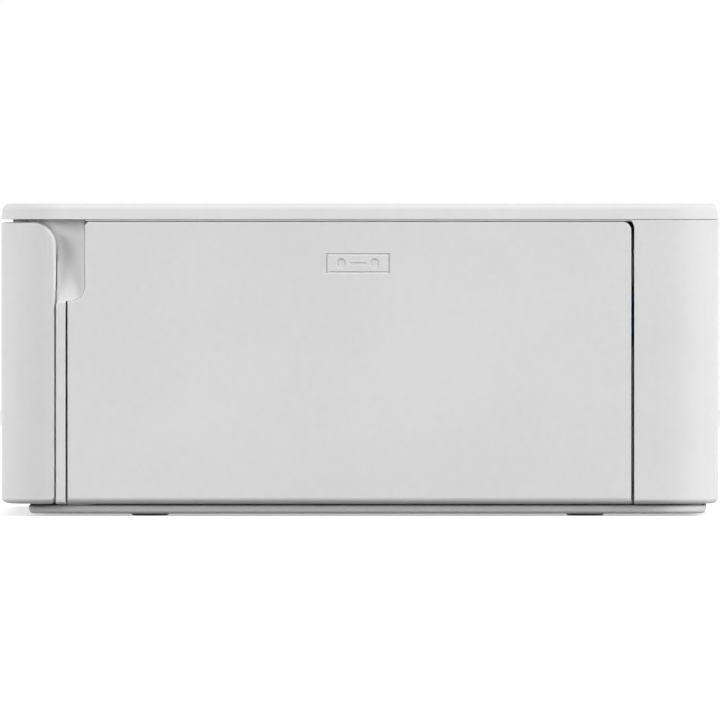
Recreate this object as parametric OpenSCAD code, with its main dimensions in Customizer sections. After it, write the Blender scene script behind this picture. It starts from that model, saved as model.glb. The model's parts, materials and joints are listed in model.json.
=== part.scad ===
// Compact photo printer: case with hinged doors, paper path, print head and ink cassette.
// Origin at the middle of the footprint on the surface that it stands on.
// X runs from the left side to the ink door, Y from the front to the back, Z upwards.

/* [Case] */
// Width, side to side
case_w = 182.2; // [180:0.2:190]
// Depth, front to back
case_d = 133; // [132:0.5:140]
// Height, feet included
case_h = 57.9; // [57.5:0.1:62]
// Radius of the four upright corners
corner_r = 12; // [10:0.5:13]
// Wall of the shell
shell_t = 1.8; // [1.4:0.1:2.2]
// Thickness of the top cover
cover_t = 2.9; // [2.5:0.1:3.3]
// Round along the top edge of the cover
cover_round = 1.2; // [0.6:0.1:1.6]
// Gap between a door and the cover above it
door_top_gap = 0.4; // [0.3:0.05:0.6]
// Gap between a door's edge and its neighbour
seam = 0.25; // [0.2:0.05:0.4]
// Gap between the shells and the base tray
skirt_gap = 0.35; // [0.3:0.05:0.6]

/* [Base tray] */
// Thickness of the base tray
tray_t = 1.6; // [1.2:0.1:2]
// Distance from the case front to the tray
tray_front_in = 5.1; // [4.8:0.1:5.6]
// Distance from the case back and sides to the tray
tray_side_in = 2.3; // [2:0.1:3]
// Diameter of a rubber foot
foot_d = 7; // [6:0.5:9]
// Height of a foot below the tray
foot_h = 0.5; // [0.4:0.1:1]
// Depth of the seat of a foot in the tray
foot_seat = 0.5; // [0.4:0.1:0.8]
// Distance from the case front to the front feet
foot_front_in = 27.5; // [20:0.5:32]
// Distance from the case back to the rear feet
foot_rear_in = 24.7; // [20:0.5:30]
// Distance from the case sides to the feet
foot_side_in = 20; // [17:1:24]
// Radius of a case screw
screw_r = 1; // [0.8:0.1:1.3]
// Radius of a screw boss
boss_r = 3; // [2.6:0.1:3.4]
// Height of a screw boss
boss_h = 14; // [10:1:18]

/* [Front door] */
// Wall of the front door
fdoor_t = 1.6; // [1.3:0.1:1.8]
// Depth of the door, front face to the edge of its returns
fdoor_depth = 10; // [9:0.5:11]
// Radius of the upper rear corner of a return
fdoor_corner_r = 4.5; // [2:0.5:6]
// Hinge axis behind the front face of the door
fdoor_axis_in = 3.3; // [3.2:0.05:3.4]
// Hinge axis above the lower edge of the door
fdoor_axis_up = 1.55; // [1.4:0.05:1.7]
// Radius of the hinge knuckles
fdoor_knuckle_r = 1.4; // [1.2:0.05:1.45]
// Radius of the hinge pins
door_pin_r = 0.7; // [0.5:0.05:0.8]
// Distance between the two hinges of the front door
fdoor_hinge_span = 132; // [100:2:140]
// Length of a hinge knuckle
knuckle_l = 4; // [3:0.5:6]

/* [Front frame and scoop] */
// Thickness of the front frame
frame_t = 1.85; // [1.6:0.05:2.2]
// Gap between the returns of the front door and the frame
frame_gap = 0.2; // [0.15:0.05:0.4]
// Length of the finger scoop behind the frame's front
scoop_l = 5.4; // [4.5:0.1:7]
// Height of the finger scoop
scoop_h = 14.7; // [10:0.1:18]
// Depth of the finger scoop at its top
scoop_depth = 6; // [4:0.5:6.5]
// Wall behind the scoop
scoop_wall = 1.6; // [1.2:0.1:2]
// Height of the frame's cheeks behind the top corners of the front door
cheek_h = 5; // [4.6:0.1:6]
// Clearance between a cheek and the front door
cheek_gap = 0.5; // [0.4:0.1:0.8]
// Distance of the cover's lip and the cheeks behind the case front
lip_in = 2.2; // [2:0.1:2.6]

/* [Ink door] */
// Thickness of the ink door
idoor_t = 2; // [1.8:0.1:2.2]
// Distance from the case back to the rear edge of the door
idoor_rear_in = 16.2; // [15.5:0.1:17]
// Radius of the notch corner beside the scoop
notch_r = 2.8; // [1:0.2:4]
// Radius of the upper rear corner
idoor_corner_r = 1.7; // [1:0.1:3]
// Hinge axis in from the outer face
idoor_axis_in = 2.2; // [2.1:0.05:2.4]
// Hinge axis ahead of the rear edge
idoor_axis_fwd = 5.5; // [5.3:0.1:5.8]
// Gap between the rear edge and the shell
idoor_rear_gap = 0.45; // [0.4:0.05:0.6]
// Radius of the fixed hinge arms at the pin
arm_r = 1.3; // [1.1:0.05:1.35]
// Radius of the knuckles on the door
idoor_knuckle_r = 1.65; // [1.4:0.05:1.7]
// Thickness of the stiffening ribs
rib_t = 1.2; // [0.8:0.1:1.6]
// Depth of the stiffening ribs
rib_depth = 1.8; // [1:0.1:2]

/* [Top panel] */
// Width of the display glass
glass_w = 74; // [66:1:78]
// Depth of the display glass
glass_d = 56; // [48:1:60]
// Thickness of the display glass
glass_t = 0.9; // [0.7:0.1:1.2]
// Rim under the edge of the glass
glass_rim = 3; // [2:0.5:4]
// Corner radius of the glass
glass_r = 3; // [2:0.5:5]
// Thickness of the display module
module_t = 3.6; // [3:0.1:4]
// Middle of the display, from the case centre
glass_x = -24; // [-28:1:-20]
// Middle of the display, from the case centre
glass_y = -6; // [-12:1:0]
// Middle of the key cluster, from the right side
keys_in = 40; // [38:1:44]
// Radius of the OK key
ok_r = 6; // [5:0.5:7]
// Outer radius of the direction keys
ring_r = 13.5; // [12:0.5:15]
// Radius of the other round buttons
button_r = 4.5; // [3.5:0.5:5]
// Thickness of the button board
panel_board_t = 1; // [0.8:0.1:1]
// Gap round a button
button_gap = 0.25; // [0.2:0.05:0.35]
// Travel of a button
button_travel = 0.5; // [0.3:0.05:0.6]
// Button tops below the cover's top
button_sink = 0.1; // [0.05:0.05:0.3]
// Distance from the ring's middle to the outer rows of buttons
button_row = 25; // [23:1:28]
// Half distance between the two columns of buttons
button_column = 10; // [9:0.5:12]

/* [Chassis] */
// Distance from the left side to the left plate's inner face
chassis_left_in = 47.1; // [46:0.1:48]
// Thickness of the chassis plates
plate_t = 1.2; // [1:0.1:1.3]
// Distance from the case side to the right plate's inner face
chassis_in = 11.5; // [11:0.1:12]
// Front edge of the plates behind the case front
plate_front_in = 14.5; // [14:0.5:16]
// Rear edge of the plates ahead of the case back
plate_rear_in = 9.5; // [9:0.5:10]
// Gap between the plates' top and the cover
plate_drop = 3; // [2.9:0.05:3.2]
// Width of the plates' flanges
flange_w = 5; // [4:0.5:6]

/* [Paper path] */
// Height of the paper slit in the back
slit_h = 4.6; // [4.4:0.1:5.5]
// Lower edge of the paper slit above the tray
slit_up = 18.4; // [17:0.1:19]
// Room between the paper path and each chassis plate
paper_side = 9.8; // [9:0.1:12]
// Height of the paper slot
slot_h = 20; // [18:0.5:20.5]
// Lower edge of the paper slot above the tray
slot_up = 3.4; // [3.2:0.1:4]
// Side room beside the paper
slot_side = 6; // [5:0.5:7]
// Thickness of the inner flap
flap_t = 1.2; // [1:0.1:1.4]
// Gap round the inner flap
flap_gap = 0.3; // [0.25:0.05:0.4]
// Radius of the flap's rod
flap_rod_r = 0.7; // [0.5:0.1:0.8]
// Radius of the flap's knuckles
flap_knuckle_r = 1.3; // [1.1:0.1:1.4]
// Wall of the paper bay
bay_t = 1.5; // [1:0.1:1.8]
// Length of the paper bay
bay_l = 51; // [46:1:52]
// Radius of the platen roller
platen_r = 6; // [5.6:0.1:6.2]
// Middle of the platen behind the case centre
platen_y = 12; // [11:0.5:13]
// Middle of the platen above the tray
platen_up = 17.7; // [17.4:0.1:17.8]
// Radius of the roller shafts
shaft_r = 2; // [1.5:0.1:2.2]
// Running clearance of shafts
run = 0.05; // [0.02:0.01:0.08]
// Wall of a roller bush
bush_t = 1.9; // [1.4:0.1:2]
// Radius of the grip roller
grip_r = 4; // [3.5:0.1:4.2]
// Distance from the platen back to the grip roller
grip_back = 20; // [19:0.5:21]
// Grip roller below the platen
grip_down = 2.8; // [2.4:0.1:3.2]
// Radius of the pinch roller
pinch_r = 2; // [1.7:0.1:2.1]
// Radius of the pinch roller's shaft
pinch_shaft_r = 1; // [0.8:0.1:1.2]
// Gap for the paper between the grip and pinch rollers
paper_gap = 0.3; // [0.2:0.05:0.35]
// Radius of the pickup roller
pickup_r = 5; // [4.5:0.5:5.5]
// Length of the pickup roller
pickup_l = 24; // [18:1:30]
// Pickup roller ahead of the case centre
pickup_fwd = 31; // [30:0.5:32]
// Pickup roller above the tray
pickup_up = 25; // [24.5:0.5:26]
// Distance from the pickup roller to its arm's pivot, along Y
pickup_arm_l = 15; // [14:0.5:16]
// Rise from the pickup roller to its arm's pivot
pickup_arm_rise = 10; // [9:0.5:11]
// Radius of the pickup roller's shaft
pickup_shaft_r = 1.2; // [1:0.1:1.5]
// Radius of the fixed pivot rods
rod_r = 1.5; // [1.2:0.1:1.7]
// Thickness of the pickup arm's cheeks
cheek_t = 2; // [1.5:0.5:3]

/* [Gears] */
// Module of the gears
gear_m = 0.8; // [0.78:0.01:0.82]
// Face width of the gears
gear_w = 4; // [3:0.5:5]
// Gap between the left plate and the gears
gear_gap = 1; // [0.6:0.1:1.5]
// Teeth of the platen gear and of the grip gear
roller_teeth = 18; // [18:1:18]
// Teeth of the idler gear
idler_teeth = 20; // [20:1:20]
// Teeth of the motor pinion
pinion_teeth = 10; // [10:1:10]
// Radius of the feed motor
motor_r = 9; // [7:0.5:10]
// Length of the feed motor
motor_l = 22; // [18:1:25]
// Thickness of the motor bracket
bracket_t = 1.2; // [1:0.1:1.6]

/* [Print head] */
// Pivot of the head behind the platen
head_pivot_back = 40; // [39:0.5:41]
// Pivot of the head below the top of the chassis plates
pivot_drop = 2.9; // [2.8:0.05:3]
// Angle through which the head is lifted at rest
head_lift = 5; // [4.5:0.1:5.2]
// Gap left between the film and the lowered head
head_gap = 0.15; // [0.1:0.05:0.25]
// Length of the thermal head beyond the paper, both ends together
head_over = 1.6; // [1:0.2:2.4]
// Depth of the head's ceramic bar
head_d = 12; // [10:0.5:14]
// Thickness of the head's ceramic bar
head_t = 1.3; // [1:0.1:1.6]
// Radius of the bead of heaters
bead_r = 0.6; // [0.4:0.1:0.8]
// Depth of the heat sink
sink_d = 16; // [14:0.5:18]
// Gap between the top of the heat sink and the height of the head's pivot
sink_room = 6.3; // [6.2:0.1:9]
// Number of fins
fin_count = 6; // [4:1:8]
// Thickness of a fin
fin_t = 1.2; // [0.8:0.1:1.5]
// Thickness of the head arm's sheet
head_arm_t = 1; // [0.8:0.1:1]
// Width of a head arm
head_arm_w = 8; // [6:0.5:10]

/* [Ink cassette] */
// Gap between the tubs and the height of the chassis plates' top
tub_drop = 3; // [2.9:0.1:3.6]
// Lowest point of the tubs below the top of the platen
tub_sink = 0.8; // [0.4:0.1:1]
// Wall of the cassette
tub_t = 1; // [0.8:0.1:1.2]
// Half distance between the spools
spool_half = 27; // [26.6:0.1:27.5]
// Gap between the cassette's right end and the right plate
cassette_in = 0.9; // [0.85:0.05:1.1]
// Room for the drive hub between the left plate and the cassette
hub_room = 2.1; // [1.9:0.05:2.2]
// Thickness of the cassette's end plates
end_t = 2.4; // [2:0.1:3]
// End plates beyond the tubs, and the window beyond the end plates
end_lip = 0.4; // [0.3:0.05:0.5]
// Radius of the spool cores
core_r = 4; // [3.5:0.5:5]
// Fresh film on the supply spool, inside the outer face of its tub
supply_in = 3; // [2.5:0.5:5]
// Depth of the used film on the core of the take-up spool
take_up_wind = 2; // [1:0.5:2.5]
// Radius of the spool journals
journal_r = 2.5; // [2:0.1:3]
// Thickness of the ribbon film's solid
film_t = 0.15; // [0.1:0.05:0.2]
// Film above the platen
film_up = 0.2; // [0.15:0.05:0.3]
// Radius of the take-up hub
hub_r = 4; // [3.5:0.5:5]

/* [Electronics] */
// Thickness of the circuit boards
board_t = 1.6; // [1:0.2:1.6]
// Height of the main board above the tray
board_up = 5; // [4:0.5:6]
// Width of the memory card slot
card_w = 26; // [24.5:0.5:28]
// Depth of the memory card slot
card_d = 22; // [20:1:26]
// Height of the memory card slot
card_h = 3.4; // [3:0.2:4]
// Width of the USB port
usb_w = 7.6; // [7:0.2:9]
// Height of the USB port
usb_h = 2.8; // [2.4:0.2:3.4]
// Radius of the DC inlet's barrel
inlet_r = 2.9; // [2.5:0.1:3.2]
// Width of the DC inlet's body
inlet_w = 11; // [9:0.5:12]
// Length of the DC inlet's body
inlet_l = 13; // [11:0.5:15]
// Side length of the cooling fan
fan_w = 30; // [25:1:32]
// Thickness of the cooling fan
fan_t = 10; // [8:0.5:11]
// Radius of the fan's hub
fan_hub_r = 7; // [6:0.5:8]
// Number of fan blades
blade_count = 7; // [5:1:9]
// Number of ventilation slots
vent_count = 7; // [5:1:8]
// Width of a ventilation slot
vent_w = 1.6; // [1.2:0.1:2]

/* [Hidden] */
$fn = 64;
bite = 1; // how far a cut runs past the face that it opens

// Case
right_x = case_w / 2;
left_x = -right_x;
back_y = case_d / 2;
front_y = -back_y;
tray_z = foot_h;
tray_top = tray_z + tray_t;
skirt_z = tray_top + skirt_gap;
cover_z = case_h - cover_t;
door_top = cover_z - door_top_gap;
door_h = door_top - skirt_z;
tray_front = front_y + tray_front_in;
tray_right = right_x - tray_side_in;
tray_back = back_y - tray_side_in;
tray_r = corner_r - tray_side_in;
foot_x = right_x - foot_side_in;
foot_front = front_y + foot_front_in;
foot_rear = back_y - foot_rear_in;
// Front door
fdoor_back = front_y + fdoor_depth;
fdoor_axis_y = front_y + fdoor_axis_in;
fdoor_axis_z = skirt_z + fdoor_axis_up;
// Front frame and scoop
frame_front = fdoor_back + frame_gap;
frame_back = frame_front + frame_t;
cheek_front = front_y + lip_in;
scoop_back = frame_front + scoop_l;
scoop_z = door_top - scoop_h;
// The scoop is part of a cylinder that meets the side at scoop_z and is scoop_depth deep at the top
scoop_axis_z = door_top + 1.4;
scoop_low = scoop_axis_z - scoop_z;
scoop_top = scoop_axis_z - door_top;
scoop_off = (scoop_low * scoop_low - scoop_top * scoop_top - scoop_depth * scoop_depth)
  / (2 * scoop_depth);
scoop_r = sqrt(scoop_off * scoop_off + scoop_low * scoop_low);
// Ink door
idoor_front = frame_back + seam;
idoor_rear = back_y - idoor_rear_in;
idoor_in = right_x - idoor_t;
idoor_axis_x = right_x - idoor_axis_in;
idoor_axis_y = idoor_rear - idoor_axis_fwd;
arm_h = 2.4;
arm_gap = 0.3;
low_arm_z = skirt_z + 0.95;
plate_top = cover_z - plate_drop;
high_arm_z = plate_top - 2;
knuckle_h = 4;
low_knuckle_z = low_arm_z + arm_h + arm_gap;
high_knuckle_z = high_arm_z - arm_gap - knuckle_h;
// Chassis
plate_right = right_x - chassis_in;
plate_left = left_x + chassis_left_in;
chassis_span = plate_right - plate_left;
plate_front = front_y + plate_front_in;
plate_rear = back_y - plate_rear_in;
plate_h = plate_top - tray_top;
path_x = (plate_left + plate_right) / 2;
paper_w = chassis_span - 2 * paper_side;
// Paper path
slot_z = tray_top + slot_up;
slot_half = paper_w / 2 + slot_side;
flap_axis_y = frame_back + flap_knuckle_r - 0.5;
flap_axis_z = slot_z + slot_h - 1.5;
bay_back = frame_back + bay_l;
platen_z = tray_top + platen_up;
platen_top = platen_z + platen_r;
grip_y = platen_y + grip_back;
grip_z = platen_z - grip_down;
pinch_z = grip_z + grip_r + paper_gap + pinch_r;
pickup_y = -pickup_fwd;
pickup_z = tray_top + pickup_up;
arm_y = pickup_y - pickup_arm_l;
arm_z = pickup_z + pickup_arm_rise;
bush_r = shaft_r + run + bush_t;
// Gears: the idler meshes with the platen gear and with the grip gear
gear_right = plate_left - plate_t - gear_gap;
gear_left = gear_right - gear_w;
roller_pitch = gear_m * roller_teeth / 2;
idler_pitch = gear_m * idler_teeth / 2;
pinion_pitch = gear_m * pinion_teeth / 2;
mesh_d = roller_pitch + idler_pitch;
rollers_d = norm([grip_back, grip_down]);
idler_rise = sqrt(mesh_d * mesh_d - rollers_d * rollers_d / 4);
idler_y = (platen_y + grip_y) / 2 + idler_rise * grip_down / rollers_d;
idler_z = (platen_z + grip_z) / 2 + idler_rise * grip_back / rollers_d;
pinion_angle = 150;
pinion_y = idler_y + (idler_pitch + pinion_pitch) * cos(pinion_angle);
pinion_z = idler_z + (idler_pitch + pinion_pitch) * sin(pinion_angle);
bracket_x = gear_left - 1.6;
// Cassette
spool_y = platen_y;
tub_r = (plate_top - tub_drop - platen_top + tub_sink) / 2;
spool_z = plate_top - tub_drop - tub_r;
supply_r = tub_r - supply_in;
take_up_r = core_r + take_up_wind;
cassette_right = plate_right - cassette_in;
cassette_left = plate_left + hub_room;
cassette_l = cassette_right - cassette_left;
film_z = platen_top + film_up;
rail_z = film_z + 0.6;
// Print head
pivot_y = platen_y + head_pivot_back;
pivot_z = plate_top - pivot_drop;
bead_z = film_z + film_t / 2 + head_gap;
bar_z = bead_z + bead_r / 2;
sink_z = bar_z + head_t;
sink_h = pivot_z - sink_room - sink_z;
// Top panel
keys_x = right_x - keys_in;
keys_y = glass_y;
under_cap = 0.3;
cap_flange = 0.6;
board_top_gap = 2.1;
panel_board_z = cover_z - board_top_gap - panel_board_t;
// Small features
screw_head_t = 0.9;
field_t = 0.15;
slit_z = tray_top + slit_up;
window_w = glass_w - 2 * glass_rim;
window_d = glass_d - 2 * glass_rim;
spider_t = 1.2;
strap_t = 1.6;
flap_spring_l = 12;
// Round keys and buttons: middle and radius
round_keys = [
  [keys_x - button_column, keys_y + button_row, button_r],
  [keys_x + button_column, keys_y + button_row, button_r],
  [keys_x - button_column, keys_y - button_row, button_r],
  [keys_x + button_column, keys_y - button_row, button_r],
];
panel_w = 2 * (button_column + button_r + 3);
panel_d = 2 * (button_row + button_r + 3);
switch_top = panel_board_z + panel_board_t + 0.5;
rail_h = 2.4;
// Film's path below a spool's axis, from its pack to the foot of the tub
film_angle = 60;
pack_gap = 0.6;
function film_off(pack) = [(pack + pack_gap) * cos(film_angle), -(pack + pack_gap) * sin(film_angle)];
film_foot = [tub_r - 1.5, film_z - spool_z];
// Angle below the axis at which the film leaves the middle of the tub's wall
function slit_angle(pack) = let (
    a = film_off(pack), d = film_foot - a, r = tub_r - tub_t / 2,
    t = (sqrt((a * d) * (a * d) - (d * d) * (a * a - r * r)) - a * d) / (d * d), p = a + t * d)
  atan2(-p[1], p[0]);
// Top of the head's web, in the middle of the arm's sheet once it is lifted
head_hub_r = rod_r + 0.9;
web_top = pivot_z + (head_hub_r - head_arm_t / 2
  - (pivot_y - platen_y + sink_d / 2 - head_arm_t / 2) * sin(head_lift)) / cos(head_lift);
hub_nose_r = 1.5;
motor_shaft_r = 0.8;
lever_t = 2.2;
lever_y = plate_front + 8;
lever_z = plate_top - 9.9;
key_split = (spider_t / 2 + button_gap) * sqrt(2);
panel_posts = [for (x = [-1, 1], y = [-1, 1])
  [keys_x + x * (panel_w / 2 - 2), keys_y + y * (panel_d / 2 - 2)]];
// Electronics in the left bay
board_x0 = left_x + shell_t + 2.4;
board_x1 = plate_left - 9;
board_y0 = frame_back + 6;
board_y1 = board_y0 + 46;
board_z = tray_top + board_up;
board_posts = [for (x = [board_x0 + 3, board_x1 - 3], y = [board_y0 + 3, board_y1 - 3]) [x, y]];
card_y = board_y0 + 20;
card_z = board_z + board_t;
usb_y = board_y0 + 40;
inlet_x = left_x + 22;
inlet_z = tray_top + inlet_w / 2;
fan_y = back_y - 31;
fan_z = tray_top + 24;
vent_pitch = 2.2 * vent_w;

// ---- Helpers ----
// Rectangle between two corners with round corners of radius r
module round_rect(x0, y0, x1, y1, r) {
  translate([x0 + r, y0]) square([x1 - x0 - 2 * r, y1 - y0]);
  translate([x0, y0 + r]) square([x1 - x0, y1 - y0 - 2 * r]);
  for (x = [x0 + r, x1 - r], y = [y0 + r, y1 - r]) translate([x, y]) circle(r);
}
// Box between two corners
module block(a, b) { translate(a) cube(b - a); }
// Plate drawn in Y and Z, standing on x0 and t thick
module yz_plate(x0, t) { translate([x0, 0, 0]) rotate([90, 0, 90]) linear_extrude(t) children(); }
// Plate drawn in X and Z, from y0 backwards
module xz_plate(y0, t) { translate([0, y0 + t, 0]) rotate([90, 0, 0]) linear_extrude(t) children(); }
// Round bar along X
module x_bar(x0, x1, y, z, r) { translate([x0, y, z]) rotate([0, 90, 0]) cylinder(r = r, h = x1 - x0); }
// Round bar along Y
module y_bar(x, y0, y1, z, r) { translate([x, y1, z]) rotate([90, 0, 0]) cylinder(r = r, h = y1 - y0); }
// Footprint of the case, drawn in by a distance
module footprint(inset = 0) {
  round_rect(left_x + inset, front_y + inset, right_x - inset, back_y - inset, corner_r - inset);
}
// Solid of the footprint between two heights
module case_block(z0, z1, inset = 0) { translate([0, 0, z0]) linear_extrude(z1 - z0) footprint(inset); }
// What a round takes off a square corner at the origin; turn sets which corner
module corner_off(r, turn = 0) {
  rotate(turn) difference() {
    translate([-bite, -bite]) square(r + bite);
    translate([r, r]) circle(r);
  }
}
// Places of the tray screws: under the shell's bosses, then under the frame's
shell_boss = [[left_x + 7, board_y1 + boss_r + 2], [left_x + 9, back_y - 9], [right_x - 9, back_y - 6.2]];
frame_boss = [[left_x + 16, frame_back + boss_r - 0.5], [plate_right + 6.2, frame_back + boss_r - 0.5]];
screw_places = concat(shell_boss, frame_boss);

// ---- Case ----
module base_tray() color("gainsboro") {
  ear_x = fdoor_hinge_span / 2;
  difference() {
    translate([0, 0, tray_z]) linear_extrude(tray_t)
      round_rect(-tray_right, tray_front, tray_right, tray_back, tray_r);
    for (x = [-foot_x, foot_x], y = [foot_front, foot_rear])
      translate([x, y, tray_z - bite]) cylinder(d = foot_d, h = foot_seat + bite);
    for (p = screw_places) translate([p[0], p[1], tray_z - bite]) {
      cylinder(r = screw_r, h = tray_t + 2 * bite);
      cylinder(r = 2 * screw_r, h = bite + screw_head_t);
    }
  }
  // Fixed ears of the front door's hinges
  for (s = [-1, 1]) difference() {
    union() {
      x_bar(s * ear_x - knuckle_l / 2, s * ear_x + knuckle_l / 2, fdoor_axis_y, fdoor_axis_z,
        fdoor_knuckle_r);
      block([s * ear_x - knuckle_l / 2, fdoor_axis_y, fdoor_axis_z - fdoor_knuckle_r],
        [s * ear_x + knuckle_l / 2, tray_front + 3, fdoor_axis_z + fdoor_knuckle_r]);
      block([s * ear_x - knuckle_l / 2, tray_front + 0.5, tray_top],
        [s * ear_x + knuckle_l / 2, tray_front + 3, fdoor_axis_z]);
    }
    x_bar(s * ear_x - knuckle_l, s * ear_x + knuckle_l, fdoor_axis_y, fdoor_axis_z, door_pin_r);
  }
  // Locating rims inside the shell's left and rear walls
  block([left_x + shell_t + seam, board_y0 + 4, tray_top],
    [left_x + shell_t + seam + 1.2, board_y1 - 2, tray_top + 3]);
  block([-foot_x + 10, back_y - shell_t - seam - 1.2, tray_top],
    [foot_x - 10, back_y - shell_t - seam, tray_top + 3]);
  // Posts of the main board
  for (p = board_posts) translate([p[0], p[1], tray_top]) cylinder(r = 2, h = board_up);
}

module rubber_feet() color("dimgray")
  for (x = [-foot_x, foot_x], y = [foot_front, foot_rear]) translate([x, y, 0]) {
    cylinder(d1 = foot_d - 2 * foot_h, d2 = foot_d, h = foot_h);
    translate([0, 0, foot_h]) cylinder(d = foot_d, h = foot_seat);
  }

module main_shell() color("whitesmoke") {
  difference() {
    case_block(skirt_z, cover_z);
    case_block(skirt_z - bite, cover_z + bite, shell_t);
    // Room for the front frame and the front door
    block([left_x - bite, front_y - bite, skirt_z - bite],
      [right_x + bite, frame_back + seam, cover_z + bite]);
    // Room for the ink door
    block([right_x - corner_r, front_y - bite, skirt_z - bite],
      [right_x + bite, idoor_rear + idoor_rear_gap, cover_z + bite]);
    // Shallow field and paper slit on the back
    block([-foot_x, back_y - field_t, skirt_z + 4], [foot_x, back_y + bite, skirt_z + 39]);
    block([path_x - paper_w / 2 - 1, back_y - shell_t - bite, slit_z],
      [path_x + paper_w / 2 + 1, back_y + bite, slit_z + slit_h]);
    // DC inlet
    y_bar(inlet_x, back_y - shell_t - bite, back_y + bite, inlet_z, inlet_r + 1);
    // Memory card slot and USB port
    block([left_x - bite, card_y - card_w / 2 + 1, card_z + 0.5],
      [left_x + shell_t + bite, card_y + card_w / 2 - 1, card_z + card_h - 0.5]);
    block([left_x - bite, usb_y - usb_w / 2 - 0.5, card_z - 0.4],
      [left_x + shell_t + bite, usb_y + usb_w / 2 + 0.5, card_z + usb_h + 0.4]);
    // Ventilation slots before the fan
    for (i = [0 : vent_count - 1])
      block([left_x - bite, fan_y + (i - (vent_count - 1) / 2) * vent_pitch - vent_w / 2,
        fan_z - fan_w / 2 + 3], [left_x + shell_t + bite,
        fan_y + (i - (vent_count - 1) / 2) * vent_pitch + vent_w / 2, fan_z + fan_w / 2 - 3]);
  }
  // Screw bosses, each with a web to the wall
  for (p = shell_boss) difference() {
    union() {
      translate([p[0], p[1], tray_top]) cylinder(r = boss_r, h = boss_h);
      intersection() {
        union() {
          block([p[0] < 0 ? left_x : p[0], p[1] - 0.6, skirt_z],
            [p[0] < 0 ? p[0] : right_x, p[1] + 0.6, tray_top + boss_h]);
          if (p[1] > back_y - corner_r)
            block([p[0] - 0.6, p[1], skirt_z], [p[0] + 0.6, back_y, tray_top + boss_h]);
        }
        case_block(skirt_z, cover_z, shell_t / 2);
      }
    }
    translate([p[0], p[1], tray_top - bite]) cylinder(r = screw_r, h = boss_h - 2 + bite);
  }
}

// Profile of the front frame's bulkhead in X and Z
module frame_profile() {
  inner_x = right_x - corner_r;
  difference() {
    union() {
      translate([left_x, skirt_z]) square([case_w, door_top - skirt_z]);
      translate([-inner_x, tray_top]) square([2 * inner_x, cover_z - tray_top]);
    }
    translate([path_x - slot_half, slot_z]) square([2 * slot_half, slot_h]);
  }
}

module front_frame() color("whitesmoke") difference() {
  union() {
    intersection() {
      case_block(tray_top, cover_z);
      xz_plate(frame_front, frame_t) frame_profile();
    }
    // Block that carries the finger scoop
    intersection() {
      case_block(tray_top, cover_z);
      yz_plate(right_x - scoop_depth - scoop_wall, scoop_depth + scoop_wall) difference() {
        translate([frame_front, scoop_z + seam]) square([scoop_l - seam, scoop_h - seam]);
        translate([scoop_back - seam, scoop_z + seam]) corner_off(notch_r - seam, 90);
      }
    }
    // Cheeks that close the top corners behind the front door
    for (s = [-1, 1]) intersection() {
      case_block(door_top - cheek_h, door_top, fdoor_t + cheek_gap);
      mirror([s < 0 ? 1 : 0, 0, 0])
        block([right_x - corner_r + 1, cheek_front, tray_top], [right_x, frame_front + bite, cover_z]);
    }
    // Ears of the inner flap's rod, behind the frame
    for (s = [-1, 1]) block(
      [path_x + s * (slot_half + 1.9) - 1.6, frame_back, flap_axis_z - flap_knuckle_r - 0.3],
      [path_x + s * (slot_half + 1.9) + 1.6, flap_axis_y + flap_knuckle_r,
        flap_axis_z + flap_knuckle_r + 0.3]);
    for (p = frame_boss) translate([p[0], p[1], tray_top]) cylinder(r = boss_r, h = boss_h);
  }
  translate([right_x + scoop_off, cheek_front - bite, scoop_axis_z]) rotate([-90, 0, 0])
    cylinder(r = scoop_r, h = scoop_back - cheek_front + 2 * bite, $fn = 128);
  x_bar(path_x - slot_half - 6, path_x + slot_half + 6, flap_axis_y, flap_axis_z, flap_rod_r);
  for (p = frame_boss)
    translate([p[0], p[1], tray_top - bite]) cylinder(r = screw_r, h = boss_h - 2 + bite);
}

// Section of the cover's edge, from the inside out: depth d, the cover's thickness, round on top
module edge_section(d) {
  square([d, cover_t - cover_round]);
  square([d - cover_round, cover_t]);
  translate([d - cover_round, cover_t - cover_round]) circle(cover_round);
}

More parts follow.
